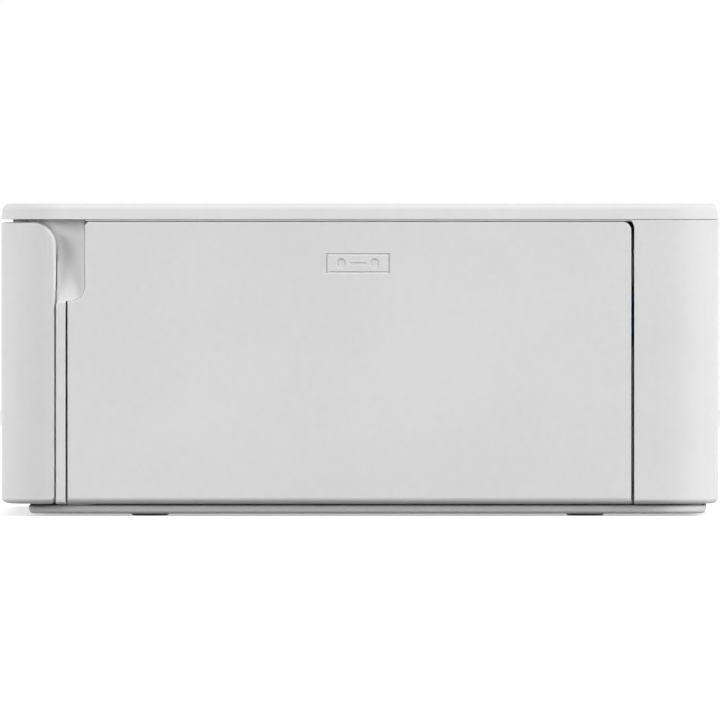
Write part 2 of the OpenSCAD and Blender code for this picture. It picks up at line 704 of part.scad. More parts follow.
module top_cover() color("white") {
  x_flat = right_x - corner_r;
  y_flat = back_y - corner_r;
  difference() {
    union() {
      block([-x_flat, -y_flat, cover_z], [x_flat, y_flat, case_h]);
      for (a = [0, 180]) {
        rotate(a) translate([x_flat - bite, y_flat, cover_z]) rotate([90, 0, 0])
          linear_extrude(2 * y_flat) edge_section(corner_r + bite);
        rotate(a) translate([-x_flat, y_flat - bite, cover_z]) rotate([90, 0, 90])
          linear_extrude(2 * x_flat) edge_section(corner_r + bite);
      }
      for (x = [-x_flat, x_flat], y = [-y_flat, y_flat])
        translate([x, y, cover_z]) rotate_extrude() edge_section(corner_r);
    }
    // Seat of the glass and the window for the module
    translate([0, 0, case_h - glass_t]) linear_extrude(glass_t + bite)
      round_rect(glass_x - glass_w / 2, glass_y - glass_d / 2, glass_x + glass_w / 2,
        glass_y + glass_d / 2, glass_r);
    block([glass_x - window_w / 2, glass_y - window_d / 2, cover_z - bite],
      [glass_x + window_w / 2, glass_y + window_d / 2, case_h]);
    for (p = round_keys) translate([p[0], p[1], cover_z - bite])
      cylinder(r = p[2] + button_gap, h = cover_t + 2 * bite);
    translate([keys_x, keys_y, cover_z - bite]) cylinder(r = ring_r + button_gap, h = cover_t + 2 * bite);
  }
  // Spider that holds the middle of the key cluster
  difference() {
    union() {
      translate([keys_x, keys_y, cover_z]) cylinder(r = ok_r + button_gap + spider_t, h = cover_t - 0.4);
      for (a = [45, 135]) translate([keys_x, keys_y, cover_z]) rotate(a)
        translate([-ring_r - button_gap - 0.5, -spider_t / 2, 0])
          cube([2 * (ring_r + button_gap + 0.5), spider_t, cover_t - 0.4]);
    }
    translate([keys_x, keys_y, cover_z - bite]) cylinder(r = ok_r + button_gap, h = cover_t + 2 * bite);
  }
  // Lip behind the top of the front door
  block([-x_flat, cheek_front, door_top - 0.8], [x_flat, cheek_front + 1.2, cover_z]);
  // Posts of the button board
  for (p = panel_posts) translate([p[0], p[1], panel_board_z + panel_board_t])
    cylinder(r = 2, h = board_top_gap);
}

// ---- Doors ----
module front_door() color("whitesmoke") {
  ear_x = fdoor_hinge_span / 2;
  difference() {
    union() {
      difference() {
        case_block(skirt_z, door_top - 0.15);
        case_block(skirt_z - bite, cover_z, fdoor_t);
        block([left_x - bite, fdoor_back, skirt_z - bite], [right_x + bite, back_y + bite, cover_z]);
        // Round corners of the two returns
        yz_plate(left_x - bite, case_w + 2 * bite) {
          translate([fdoor_back, door_top - 0.15]) corner_off(fdoor_corner_r, 180);
          translate([fdoor_back, skirt_z]) corner_off(1.1, 90);
        }
      }
      // Knuckles, one outboard of each ear, with a web to the wall
      for (s = [-1, 1]) {
        k = s * (ear_x + knuckle_l + arm_gap);
        x_bar(k - knuckle_l / 2, k + knuckle_l / 2, fdoor_axis_y, fdoor_axis_z, fdoor_knuckle_r);
        block([k - knuckle_l / 2, front_y + fdoor_t / 2, fdoor_axis_z - fdoor_knuckle_r],
          [k + knuckle_l / 2, fdoor_axis_y, fdoor_axis_z + fdoor_knuckle_r]);
      }
      // Stiffening rib along the top, inside
      block([-(right_x - corner_r), front_y + fdoor_t / 2, door_top - 5],
        [right_x - corner_r, front_y + fdoor_t + 1, door_top - 4]);
    }
    for (s = [-1, 1]) {
      k = s * (ear_x + knuckle_l + arm_gap);
      x_bar(k - knuckle_l, k + knuckle_l, fdoor_axis_y, fdoor_axis_z, door_pin_r + run);
    }
  }
}

module front_door_pins() color("silver") for (s = [-1, 1]) {
  ear_x = fdoor_hinge_span / 2;
  k = s * (ear_x + (knuckle_l + arm_gap) / 2);
  x_bar(k - knuckle_l - arm_gap / 2, k + knuckle_l + arm_gap / 2, fdoor_axis_y, fdoor_axis_z, door_pin_r);
}

// Outline of the ink door in Y and Z
module ink_door_outline() difference() {
  translate([idoor_front, skirt_z]) square([idoor_rear - idoor_front, door_h]);
  // Notch beside the finger scoop
  translate([idoor_front - bite, scoop_z]) difference() {
    square([scoop_back - idoor_front + bite, scoop_h + bite]);
    translate([scoop_back - idoor_front + bite, 0]) corner_off(notch_r, 90);
  }
  translate([scoop_back, door_top]) corner_off(0.85, 270);
  translate([idoor_rear, door_top]) corner_off(idoor_corner_r, 180);
}

module ink_door() color("whitesmoke") difference() {
  union() {
    yz_plate(idoor_in, idoor_t) ink_door_outline();
    // Ribs along the long edges and across the middle
    for (z = [low_arm_z + 6, scoop_z - 3, high_knuckle_z - 3])
      block([idoor_in - rib_depth, idoor_front + 8, z], [idoor_in, idoor_axis_y - 8, z + rib_t]);
    for (y = [idoor_front + 8, 0, idoor_axis_y - 8])
      block([idoor_in - rib_depth, y - rib_t / 2, low_arm_z + 6],
        [idoor_in, y + rib_t / 2, high_knuckle_z - 3]);
    // Hinge knuckles
    for (z = [low_knuckle_z, high_knuckle_z])
      translate([idoor_axis_x, idoor_axis_y, z]) cylinder(r = idoor_knuckle_r, h = knuckle_h);
  }
  // Round on the rear outer edge, so that it clears the shell as the door swings
  translate([right_x, idoor_rear, skirt_z - bite]) linear_extrude(door_h + 2 * bite)
    corner_off(0.6, 180);
  for (z = [low_knuckle_z, high_knuckle_z])
    translate([idoor_axis_x, idoor_axis_y, z - bite])
      cylinder(r = door_pin_r + run, h = knuckle_h + 2 * bite);
  // Pockets over the fixed arms
  for (z = [low_arm_z, high_arm_z])
    block([idoor_in - bite, idoor_axis_y - 2.3, z - arm_gap],
      [idoor_axis_x + arm_r + 0.25, idoor_rear + bite, z + arm_h + arm_gap]);
}

module hinge_bracket() color("gainsboro") {
  strap_y0 = plate_rear - 4.5;
  x0 = plate_right + plate_t;
  x1 = x0 + strap_t;
  reach = (idoor_axis_x - (x0 + x1) / 2) * sqrt(2);
  block([x0, strap_y0, low_arm_z], [x1, plate_rear, high_arm_z + arm_h]);
  for (z = [low_arm_z, high_arm_z]) difference() {
    union() {
      block([x0, idoor_axis_y - (idoor_axis_x - x0), z], [x1, strap_y0 + 1, z + arm_h]);
      translate([idoor_axis_x, idoor_axis_y, z]) {
        cylinder(r = arm_r, h = arm_h);
        rotate(225) translate([0, -1.1, 0]) cube([reach, 2.2, arm_h]);
      }
    }
    translate([idoor_axis_x, idoor_axis_y, z - bite]) cylinder(r = door_pin_r, h = arm_h + 2 * bite);
  }
}

module ink_door_pins() color("silver") {
  translate([idoor_axis_x, idoor_axis_y, low_arm_z])
    cylinder(r = door_pin_r, h = arm_h + arm_gap + knuckle_h);
  translate([idoor_axis_x, idoor_axis_y, high_knuckle_z])
    cylinder(r = door_pin_r, h = arm_h + arm_gap + knuckle_h);
}

// ---- Paper slot ----
module inner_flap() color("gainsboro") {
  half = slot_half - flap_gap;
  spring_x = path_x - half + 6;
  difference() {
    union() {
      block([path_x - half, frame_front + 0.3, slot_z + flap_gap],
        [path_x + half, frame_front + 0.3 + flap_t, slot_z + slot_h - flap_gap]);
      x_bar(path_x - half, path_x + half, flap_axis_y, flap_axis_z, flap_knuckle_r);
    }
    x_bar(path_x - half - bite, path_x + half + bite, flap_axis_y, flap_axis_z, flap_rod_r + run);
    // Room for the spring's coil
    block([spring_x, frame_front + 0.3 + flap_t, flap_axis_z - 2],
      [spring_x + flap_spring_l + 2 * flap_gap, flap_axis_y + 2, flap_axis_z + 2]);
  }
}

module flap_rod() color("silver")
  x_bar(path_x - slot_half - 3.5, path_x + slot_half + 3.5, flap_axis_y, flap_axis_z, flap_rod_r);

module flap_spring() color("silver") {
  x0 = path_x - slot_half + flap_gap + 6 + flap_gap;
  difference() {
    x_bar(x0, x0 + flap_spring_l, flap_axis_y, flap_axis_z, flap_rod_r + run + 0.3);
    x_bar(x0 - bite, x0 + flap_spring_l + bite, flap_axis_y, flap_axis_z, flap_rod_r);
  }
}

module paper_bay() color("gainsboro") {
  floor_z = slot_z - bay_t - 0.2;
  block([plate_left, frame_back, floor_z], [plate_right, bay_back, floor_z + bay_t]);
  block([path_x - slot_half, bay_back - bay_t, floor_z], [path_x + slot_half, bay_back, slot_z + 12]);
  for (s = [-1, 1]) block([path_x + s * (slot_half + bay_t / 2) - bay_t / 2, frame_back + 4, floor_z],
    [path_x + s * (slot_half + bay_t / 2) + bay_t / 2, bay_back, slot_z + slot_h - 6]);
  for (x = [-1, 1], y = [frame_back + 8, bay_back - 6])
    translate([path_x + x * (slot_half - 6), y, tray_top]) cylinder(r = 3, h = floor_z - tray_top);
}

module rear_guide() color("gainsboro") {
  y0 = grip_y + grip_r + 1.2;
  top = slit_z;
  block([plate_left, y0, top - bay_t], [plate_right, plate_rear - 2, top]);
  block([path_x - paper_w / 2, y0, top - bay_t], [path_x + paper_w / 2, back_y - shell_t, top]);
  for (i = [0 : 6]) block([path_x + (i - 3) * paper_w / 7 - 0.5, y0 + 2, top - bay_t - 4],
    [path_x + (i - 3) * paper_w / 7 + 0.5, back_y - shell_t - 1, top]);
}

// ---- Top panel ----
module lcd_glass() color("black")
  translate([0, 0, case_h - glass_t]) linear_extrude(glass_t)
    round_rect(glass_x - glass_w / 2 + 0.1, glass_y - glass_d / 2 + 0.1, glass_x + glass_w / 2 - 0.1,
      glass_y + glass_d / 2 - 0.1, glass_r - 0.1);

module lcd_module() color("darkslategray")
  translate([glass_x, glass_y, case_h - glass_t - module_t / 2])
    cube([window_w - 0.6, window_d - 0.6, module_t], center = true);

// Round button: cap through the cover, flange under it and a stem down to its switch
module push_button(p) translate([p[0], p[1], 0]) {
  translate([0, 0, cover_z - under_cap - cap_flange])
    cylinder(r = p[2] + 1, h = cap_flange);
  translate([0, 0, cover_z - under_cap - 0.1])
    cylinder(r = p[2], h = case_h - button_sink - cover_z + under_cap + 0.1);
  translate([0, 0, switch_top + button_travel + 0.05])
    cylinder(r = 1.5, h = cover_z - under_cap - cap_flange - switch_top - button_travel);
}
module power_button() color("lightgray") push_button(round_keys[0]);
module menu_button() color("lightgray") push_button(round_keys[1]);
module edit_button() color("lightgray") push_button(round_keys[2]);
module print_button() color("lightgray") push_button(round_keys[3]);
module ok_button() color("lightgray") push_button([keys_x, keys_y, ok_r - button_gap]);

// Direction key: a quarter of the ring between the arms of the spider
module direction_key(turn) translate([keys_x, keys_y, 0]) rotate(turn) {
  inner = ok_r + button_gap + spider_t + button_gap;
  translate([0, 0, cover_z + 0.1]) linear_extrude(cover_t - button_sink - 0.1) difference() {
    intersection() {
      circle(ring_r);
      polygon([[key_split, 0], [key_split + 2 * ring_r, 2 * ring_r], [key_split + 2 * ring_r, -2 * ring_r]]);
    }
    circle(inner);
  }
  translate([(inner + ring_r) / 2, 0, switch_top + button_travel + 0.05])
    cylinder(r = 1.5, h = cover_z + 0.2 - switch_top - button_travel);
}
module key_right() color("lightgray") direction_key(0);
module key_up() color("lightgray") direction_key(90);
module key_left() color("lightgray") direction_key(180);
module key_down() color("lightgray") direction_key(270);

module button_board() color("darkgreen") {
  translate([keys_x - panel_w / 2, keys_y - panel_d / 2, panel_board_z])
    cube([panel_w, panel_d, panel_board_t]);
  key_ring = (ok_r + button_gap + spider_t + button_gap + ring_r) / 2;
  for (p = concat(round_keys, [[keys_x, keys_y, 0]],
      [for (a = [0 : 90 : 270]) [keys_x + key_ring * cos(a), keys_y + key_ring * sin(a), 0]]))
    translate([p[0], p[1], panel_board_z + panel_board_t])
      cylinder(r = 1.6, h = switch_top - panel_board_z - panel_board_t);
}

// ---- Electronics ----
module main_board() color("darkgreen") {
  block([board_x0, board_y0, board_z], [board_x1, board_y1, board_z + board_t]);
  // Processor, memory, power coil and capacitors
  for (c = [[11.9, 5, 9, 9, 1.2], [11.9, 18, 7, 5, 1], [11.9, 26, 7, 5, 1], [7.9, 34, 6, 8, 4]])
    translate([board_x1 - c[0], board_y0 + c[1], board_z + board_t]) cube([c[2], c[3], c[4]]);
  for (i = [0 : 2]) translate([board_x1 - 3 - 7 * i, board_y1 - 4.5, board_z + board_t])
    cylinder(r = 2.5, h = 7);
}

module dc_inlet() color("black") {
  y0 = back_y - shell_t - inlet_l;
  y1 = back_y - shell_t;
  difference() {
    block([inlet_x - inlet_w / 2, y0, tray_top], [inlet_x + inlet_w / 2, y1, tray_top + inlet_w]);
    y_bar(inlet_x, y0 + 3, y1 + bite, inlet_z, inlet_r);
  }
  y_bar(inlet_x, y0 + 2, y1 - 1, inlet_z, 0.8);
}

module card_slot() color("silver") {
  x0 = left_x + shell_t;
  difference() {
    block([x0, card_y - card_w / 2, card_z], [x0 + card_d, card_y + card_w / 2, card_z + card_h]);
    block([x0 - bite, card_y - card_w / 2 + 1, card_z + 0.5],
      [x0 + card_d - 1, card_y + card_w / 2 - 1, card_z + card_h - 0.5]);
  }
}

module usb_port() color("silver") {
  x0 = left_x + shell_t;
  difference() {
    block([x0, usb_y - usb_w / 2, card_z], [x0 + 6, usb_y + usb_w / 2, card_z + usb_h]);
    block([x0 - bite, usb_y - usb_w / 2 + 0.4, card_z + 0.4],
      [x0 + 5.4, usb_y + usb_w / 2 - 0.4, card_z + usb_h - 0.4]);
  }
  block([x0 + 0.8, usb_y - usb_w / 2 + 1.6, card_z + 1.1],
    [x0 + 5.6, usb_y + usb_w / 2 - 1.6, card_z + 1.7]);
}

module fan_frame() color("dimgray") {
  x0 = left_x + shell_t;
  difference() {
    block([x0, fan_y - fan_w / 2, fan_z - fan_w / 2], [x0 + fan_t, fan_y + fan_w / 2, fan_z + fan_w / 2]);
    x_bar(x0 - bite, x0 + fan_t + bite, fan_y, fan_z, fan_w / 2 - 1);
    for (y = [-1, 1], z = [-1, 1])
      x_bar(x0 - bite, x0 + fan_t + bite, fan_y + y * (fan_w / 2 - 2.4), fan_z + z * (fan_w / 2 - 2.4), 1.1);
  }
  // Hub plate with three spokes, its spindle, and a leg down to the tray
  x_bar(x0 + fan_t - 1.5, x0 + fan_t, fan_y, fan_z, fan_hub_r);
  for (a = [30, 150, 270]) translate([x0 + fan_t - 1.5, fan_y, fan_z]) rotate([a, 0, 0])
    translate([0, 0, -1]) cube([1.5, fan_w / 2 - 0.5, 2]);
  x_bar(x0 + 3, x0 + fan_t, fan_y, fan_z, 1);
  block([x0, fan_y - 6, tray_top], [x0 + fan_t, fan_y + 6, fan_z - fan_w / 2]);
}

module fan_rotor() color("black") {
  x0 = left_x + shell_t + 1;
  x1 = left_x + shell_t + fan_t - 2;
  difference() {
    union() {
      x_bar(x0, x1, fan_y, fan_z, fan_hub_r);
      for (i = [0 : blade_count - 1]) translate([(x0 + x1) / 2, fan_y, fan_z])
        rotate([i * 360 / blade_count, 0, 0]) translate([0, 0, fan_hub_r - 1]) rotate([0, 0, 38])
          translate([-0.5, -3.6, 0]) cube([1, 7.2, fan_w / 2 - 2 - fan_hub_r + 1]);
    }
    x_bar(x0 + 1, x1 + bite, fan_y, fan_z, 1 + run);
  }
}

// ---- Chassis ----
// Holes that both chassis plates share
module shaft_holes() {
  translate([platen_y, platen_z]) circle(bush_r);
  translate([grip_y, grip_z]) circle(bush_r);
  translate([grip_y, pinch_z]) circle(pinch_shaft_r + run);
  translate([arm_y, arm_z]) circle(rod_r);
  translate([pivot_y, pivot_z]) circle(rod_r);
}

// End outline of the cassette in Y and Z, drawn out by a distance
module cassette_end(grow) {
  for (s = [-1, 1]) translate([spool_y + s * spool_half, spool_z]) circle(tub_r + end_lip + grow);
  translate([spool_y - spool_half + tub_r / 2, rail_z - grow])
    square([2 * spool_half - tub_r, rail_h + 2 * grow]);
}

module plate_outline() difference() {
  translate([plate_front, tray_top]) square([plate_rear - plate_front, plate_h]);
  shaft_holes();
  // Lightening cut over the paper bay
  round_rect_at([plate_front + 5, slot_z + slot_h - 5], [16, 3]);
}
module round_rect_at(p, s) round_rect(p[0], p[1], p[0] + s[0], p[1] + s[1], 1);

module left_plate() color("silver") {
  yz_plate(plate_left - plate_t, plate_t) difference() {
    plate_outline();
    translate([spool_y + spool_half, spool_z]) circle(hub_nose_r + run);
  }
  // Flange that is screwed to the tray
  block([plate_left - plate_t - flange_w, plate_front, tray_top], [plate_left - plate_t / 2, plate_rear,
    tray_top + plate_t]);
}

module right_plate() color("silver") {
  yz_plate(plate_right, plate_t) difference() {
    plate_outline();
    cassette_end(0.5);
    translate([spool_y - spool_half, rail_z]) square([2 * spool_half, spool_z + tub_r - rail_z]);
  }
  block([plate_right + plate_t / 2, plate_front, tray_top], [plate_right + plate_t + 1.6,
    idoor_axis_y - 12, tray_top + plate_t]);
  // Stud of the cassette lever
  x_bar(plate_right, plate_right + plate_t + lever_t + 1.1, lever_y, lever_z, rod_r);
}

module cross_stays() color("silver") {
  for (c = [[plate_front + 1, plate_top - 9], [plate_rear - 2.2, slit_z + slit_h + 4]])
    block([plate_left, c[0], c[1]], [plate_right, c[0] + 1.2, c[1] + 8]);
}

module pivot_rods() color("silver") {
  x_bar(plate_left - plate_t, plate_right + plate_t, arm_y, arm_z, rod_r);
  x_bar(plate_left - plate_t, plate_right + plate_t, pivot_y, pivot_z, rod_r);
}

module roller_bushes() color("goldenrod") for (c = [[platen_y, platen_z], [grip_y, grip_z]])
  for (x = [plate_left, plate_right + plate_t + 0.3]) difference() {
    union() {
      x_bar(x - plate_t - 0.3, x, c[0], c[1], bush_r);
      x_bar(x == plate_left ? x : x - plate_t - 1.3, x == plate_left ? x + 1 : x - plate_t - 0.3,
        c[0], c[1], bush_r + 1);
    }
    x_bar(x - plate_t - 2, x + 2, c[0], c[1], shaft_r + run);
  }

module case_screws() color("silver") for (p = screw_places) translate([p[0], p[1], tray_z]) {
  cylinder(r = 2 * screw_r, h = screw_head_t);
  cylinder(r = screw_r, h = tray_t + boss_h - 4);
}

// ---- Rollers and gears ----
// Roller on a shaft that runs through both plates; over reaches past the plates at each end
module roller(y, z, r, half, shaft, over_left, over_right) {
  x_bar(path_x - half, path_x + half, y, z, r);
  x_bar(plate_left - over_left, plate_right + over_right, y, z, shaft);
}

module platen_roller() color("dimgray")
  roller(platen_y, platen_z, platen_r, paper_w / 2 + 1, shaft_r, plate_t + gear_gap + gear_w, plate_t + 0.6);
module grip_roller() color("silver")
  roller(grip_y, grip_z, grip_r, paper_w / 2, shaft_r, plate_t + gear_gap + gear_w, plate_t + 0.6);
module pinch_roller() color("gray")
  roller(grip_y, pinch_z, pinch_r, paper_w / 2 - 2, pinch_shaft_r, plate_t, plate_t);

// Spur gear drawn in Y and Z: trapezoid teeth with backlash, phase in degrees
module gear_shape(teeth, phase) {
  pitch = gear_m * teeth / 2;
  outer = pitch + 0.85 * gear_m;
  root = pitch - 1.15 * gear_m;
  step = 360 / teeth;
  rotate(phase) polygon([for (i = [0 : teeth - 1], c = [[root, -0.36], [outer, -0.13], [outer, 0.13],
    [root, 0.36]]) c[0] * [cos((i + c[1]) * step), sin((i + c[1]) * step)]]);
}
// Gear at a place in Y and Z with a bore for its shaft
module gear(y, z, teeth, phase, bore, x0 = gear_left, x1 = gear_right) difference() {
  yz_plate(x0, x1 - x0) translate([y, z]) gear_shape(teeth, phase);
  x_bar(x0 - bite, x1 + bite, y, z, bore);
}
// Angle of the line from the idler to another axis
function toward(y, z) = atan2(z - idler_z, y - idler_y);
// Phase of a gear that puts a gap where the idler's tooth points; the idler has a tooth at tooth_angle
function mate_phase(y, z, teeth, idler_phase) = let (a = toward(y, z),
    idler_turn = (a - idler_phase) / (360 / idler_teeth))
  a + 180 + (idler_turn - floor(idler_turn)) * 360 / teeth + 180 / teeth;

module platen_gear() color("ivory")
  gear(platen_y, platen_z, roller_teeth, mate_phase(platen_y, platen_z, roller_teeth, 0), shaft_r);
module grip_gear() color("ivory")
  gear(grip_y, grip_z, roller_teeth, mate_phase(grip_y, grip_z, roller_teeth, 0), shaft_r);
module idler_gear() color("ivory") gear(idler_y, idler_z, idler_teeth, 0, rod_r + run);
module idler_stud() color("silver") {
  x_bar(gear_left - 0.5, plate_left - plate_t, idler_y, idler_z, rod_r);
  x_bar(gear_right + 0.3, plate_left - plate_t, idler_y, idler_z, rod_r + 1.2);
}

module motor_pinion() color("goldenrod") {
  gear(pinion_y, pinion_z, pinion_teeth, mate_phase(pinion_y, pinion_z, pinion_teeth, 0), motor_shaft_r);
  x_bar(bracket_x - bracket_t - 2, gear_right, pinion_y, pinion_z, motor_shaft_r);
}

module motor_bracket() color("silver") {
  difference() {
    block([bracket_x - bracket_t, pinion_y - motor_r - 3, pinion_z - motor_r - 2],
      [bracket_x, pinion_y + motor_r + 1, plate_top]);
    x_bar(bracket_x - 2 * bite, bracket_x + bite, pinion_y, pinion_z, 3);
  }
  // Ledge back to the chassis plate
  block([bracket_x - bracket_t, pinion_y - motor_r - 3, plate_top - bracket_t],
    [plate_left - plate_t, pinion_y + motor_r + 1, plate_top]);
}

module feed_motor() color("silver") {
  x1 = bracket_x - bracket_t;
  difference() {
    union() {
      x_bar(x1 - motor_l, x1, pinion_y, pinion_z, motor_r);
      x_bar(x1 - motor_l - 2, x1 - motor_l, pinion_y, pinion_z, 3);
    }
    x_bar(x1 - 4, x1 + bite, pinion_y, pinion_z, 1.6);
  }
}

// ---- Pickup ----
module pickup_arm() color("gainsboro") {
  outer = pickup_l / 2 + 0.4 + cheek_t;
  difference() {
    union() {
      for (x = [path_x - outer, path_x + outer - cheek_t]) {
        x_bar(x, x + cheek_t, arm_y, arm_z, 3.2);
        x_bar(x, x + cheek_t, pickup_y, pickup_z, 2.6);
        yz_plate(x, cheek_t) polygon([[arm_y + 1.4, arm_z + 2.8], [arm_y - 1.6, arm_z - 2.7],
          [pickup_y - 1.4, pickup_z - 2.1], [pickup_y + 1.3, pickup_z + 2.2]]);
      }
      x_bar(path_x - outer, path_x + outer, arm_y, arm_z, 2.6);
    }
    x_bar(path_x - outer - bite, path_x + outer + bite, arm_y, arm_z, rod_r + run);
    x_bar(path_x - outer - bite, path_x + outer + bite, pickup_y, pickup_z, pickup_shaft_r + run);
  }
}

module pickup_roller() color("dimgray") {
  x_bar(path_x - pickup_l / 2, path_x + pickup_l / 2, pickup_y, pickup_z, pickup_r);
  x_bar(path_x - pickup_l / 2 - 0.4 - cheek_t, path_x + pickup_l / 2 + 0.4 + cheek_t,
    pickup_y, pickup_z, pickup_shaft_r);
}

// ---- Print head ----
// Turns what is drawn with the head down on the platen to where it rests, lifted
module lifted() translate([0, pivot_y, pivot_z]) rotate([-head_lift, 0, 0])
  translate([0, -pivot_y, -pivot_z]) children();

module thermal_head() color("dimgray") lifted() {
  half = (paper_w + head_over) / 2;
  difference() {
    block([path_x - half, platen_y - head_d / 2, bar_z], [path_x + half, platen_y + head_d / 2, sink_z]);
    // Bevel ahead of the heaters
    translate([0, platen_y - head_d / 2, bar_z]) rotate([45, 0, 0])
      translate([path_x - half - bite, -1, -1]) cube([2 * half + 2 * bite, 2, 2]);
  }
  intersection() {
    x_bar(path_x - paper_w / 2, path_x + paper_w / 2, platen_y, bead_z + bead_r, bead_r);
    block([path_x - half, platen_y - 2, bead_z], [path_x + half, platen_y + 2, bar_z + 0.2]);
  }
}

module heat_sink() color("silver") lifted() {
  half = paper_w / 2;
  y0 = platen_y - sink_d / 2;
  block([path_x - half, y0, sink_z], [path_x + half, y0 + sink_d, sink_z + 3]);
  for (i = [0 : fin_count - 1]) {
    y = y0 + i * (sink_d - fin_t) / (fin_count - 1);
    block([path_x - half, y, sink_z + 2], [path_x + half, y + fin_t, sink_z + sink_h]);
  }
}

module head_arm() color("lightslategray") {
  top = pivot_z + head_hub_r;
  arm_x = paper_w / 2 - head_arm_w - 1;
  difference() {
    union() {
      for (s = [-1, 1]) {
        x0 = path_x + s * arm_x - (s < 0 ? head_arm_w : 0);
        block([x0, platen_y - sink_d / 2, top - head_arm_t], [x0 + head_arm_w, pivot_y, top]);
        x_bar(x0, x0 + head_arm_w, pivot_y, pivot_z, head_hub_r);
      }
      // Cross sheet over the heat sink, and the web down to its fins
      block([path_x - arm_x - head_arm_w, platen_y - sink_d / 2, top - head_arm_t],
        [path_x + arm_x + head_arm_w, platen_y + 6, top]);
      lifted() block([path_x - arm_x, platen_y - sink_d / 2, sink_z + sink_h],
        [path_x + arm_x, platen_y - sink_d / 2 + head_arm_t, web_top]);
      lifted() block([path_x - arm_x, platen_y - sink_d / 2, sink_z + sink_h],
        [path_x + arm_x, platen_y + sink_d / 2, sink_z + sink_h + head_arm_t]);
    }
    x_bar(path_x - paper_w, path_x + paper_w, pivot_y, pivot_z, rod_r + run);
  }
}

// ---- Ink cassette ----
// Wall of a tub with a slit for the film; side is -1 in front, 1 behind
module tub(side) {
  y = spool_y + side * spool_half;
  difference() {
    x_bar(cassette_left + end_t / 2, cassette_right - end_t / 2, y, spool_z, tub_r);
    x_bar(cassette_left, cassette_right, y, spool_z, tub_r - tub_t);
    translate([cassette_left, y, spool_z])
      rotate([side < 0 ? -slit_angle(supply_r) : 180 + slit_angle(take_up_r), 0, 0])
      translate([-bite, 0, -0.9]) cube([cassette_l + 2 * bite, tub_r + bite, 1.8]);
  }
}

module cassette_frame() color("lightsteelblue") {
  for (s = [-1, 1]) tub(s);
  difference() {
    for (x = [cassette_left, cassette_right - end_t]) yz_plate(x, end_t) cassette_end(0);
    for (s = [-1, 1])
      x_bar(cassette_left - bite, cassette_right + bite, spool_y + s * spool_half, spool_z, journal_r + run);
  }
}

// Spool with its core, a pack of film and two journals
module spool(side, pack) {
  y = spool_y + side * spool_half;
  x0 = cassette_left + end_t + 0.3;
  x1 = cassette_right - end_t - 0.3;
  difference() {
    union() {
      x_bar(x0, x1, y, spool_z, core_r);
      for (x = [x0, x1 - 1.2]) x_bar(x, x + 1.2, y, spool_z, tub_r - tub_t - 0.5);
      x_bar(path_x - paper_w / 2, path_x + paper_w / 2, y, spool_z, pack);
      x_bar(cassette_left, cassette_right, y, spool_z, journal_r);
    }
    // Socket and slot for the drive hub
    x_bar(cassette_left - bite, cassette_left + 4, y, spool_z, hub_nose_r + 0.3);
  }
}
module supply_spool() color("black") spool(-1, supply_r);
module take_up_spool() color("midnightblue") spool(1, take_up_r);

module ribbon_film() color("goldenrod") {
  y0 = spool_y - spool_half + film_foot[0];
  y1 = spool_y + spool_half - film_foot[0];
  a = [spool_y - spool_half, spool_z] + film_off(supply_r);
  b = [spool_y + spool_half - film_off(take_up_r)[0], spool_z + film_off(take_up_r)[1]];
  yz_plate(path_x - paper_w / 2, paper_w) polygon([a, [y0, film_z - film_t / 2], [y1, film_z - film_t / 2], b,
    b + [-film_t, film_t], [y1 - film_t / 2, film_z + film_t / 2], [y0 + film_t / 2, film_z + film_t / 2],
    a + [film_t, film_t]]);
}

module take_up_hub() color("ivory") {
  y = spool_y + spool_half;
  x_bar(plate_left + 0.3, cassette_left - 0.3, y, spool_z, hub_r);
  x_bar(plate_left - plate_t - 3, plate_left + 0.6, y, spool_z, hub_nose_r);
  x_bar(plate_left - plate_t - 3, plate_left - plate_t - 0.3, y, spool_z, hub_r);
}

module cassette_lever() color("steelblue") {
  x0 = plate_right + plate_t + 0.3;
  difference() {
    union() {
      x_bar(x0, x0 + lever_t, lever_y, lever_z, rod_r + 2.2);
      yz_plate(x0, lever_t) polygon([[lever_y - 3.6, lever_z], [lever_y + 3.6, lever_z],
        [lever_y + 4.4, lever_z - 13], [lever_y + 0.4, lever_z - 15]]);
      block([x0, lever_y + 0.4, lever_z - 15], [x0 + lever_t + 2, lever_y + 4.4, lever_z - 13]);
    }
    x_bar(x0 - bite, x0 + lever_t + bite, lever_y, lever_z, rod_r + run);
  }
}

base_tray();
rubber_feet();
main_shell();
front_frame();
top_cover();
front_door();
front_door_pins();
inner_flap();
flap_rod();
flap_spring();
ink_door();
hinge_bracket();
ink_door_pins();
lcd_glass();
lcd_module();
button_board();
power_button();
menu_button();
edit_button();
print_button();
ok_button();
key_up();
key_down();
key_left();
key_right();
main_board();
dc_inlet();
card_slot();
usb_port();
fan_frame();
fan_rotor();
left_plate();
right_plate();
cross_stays();
case_screws();
paper_bay();
rear_guide();
roller_bushes();
platen_roller();
platen_gear();
grip_roller();
grip_gear();
idler_gear();
idler_stud();
motor_pinion();
motor_bracket();
feed_motor();
pinch_roller();
pickup_arm();
pickup_roller();
pivot_rods();
head_arm();
heat_sink();
thermal_head();
cassette_frame();
supply_spool();
take_up_spool();
ribbon_film();
take_up_hub();
cassette_lever();
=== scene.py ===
"""Dresses the compact photo printer: filleted shells, keys and display outside, its mechanism inside.

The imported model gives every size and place. Each sub-assembly is a class that builds its meshes, gives
them their finish and ties them to the body that they move with.
"""
import json
import logging
import math
from dataclasses import dataclass, field
from enum import Enum
from typing import Callable, Iterable, Optional, Sequence, Union

import bmesh
import bpy
from mathutils import Matrix, Vector


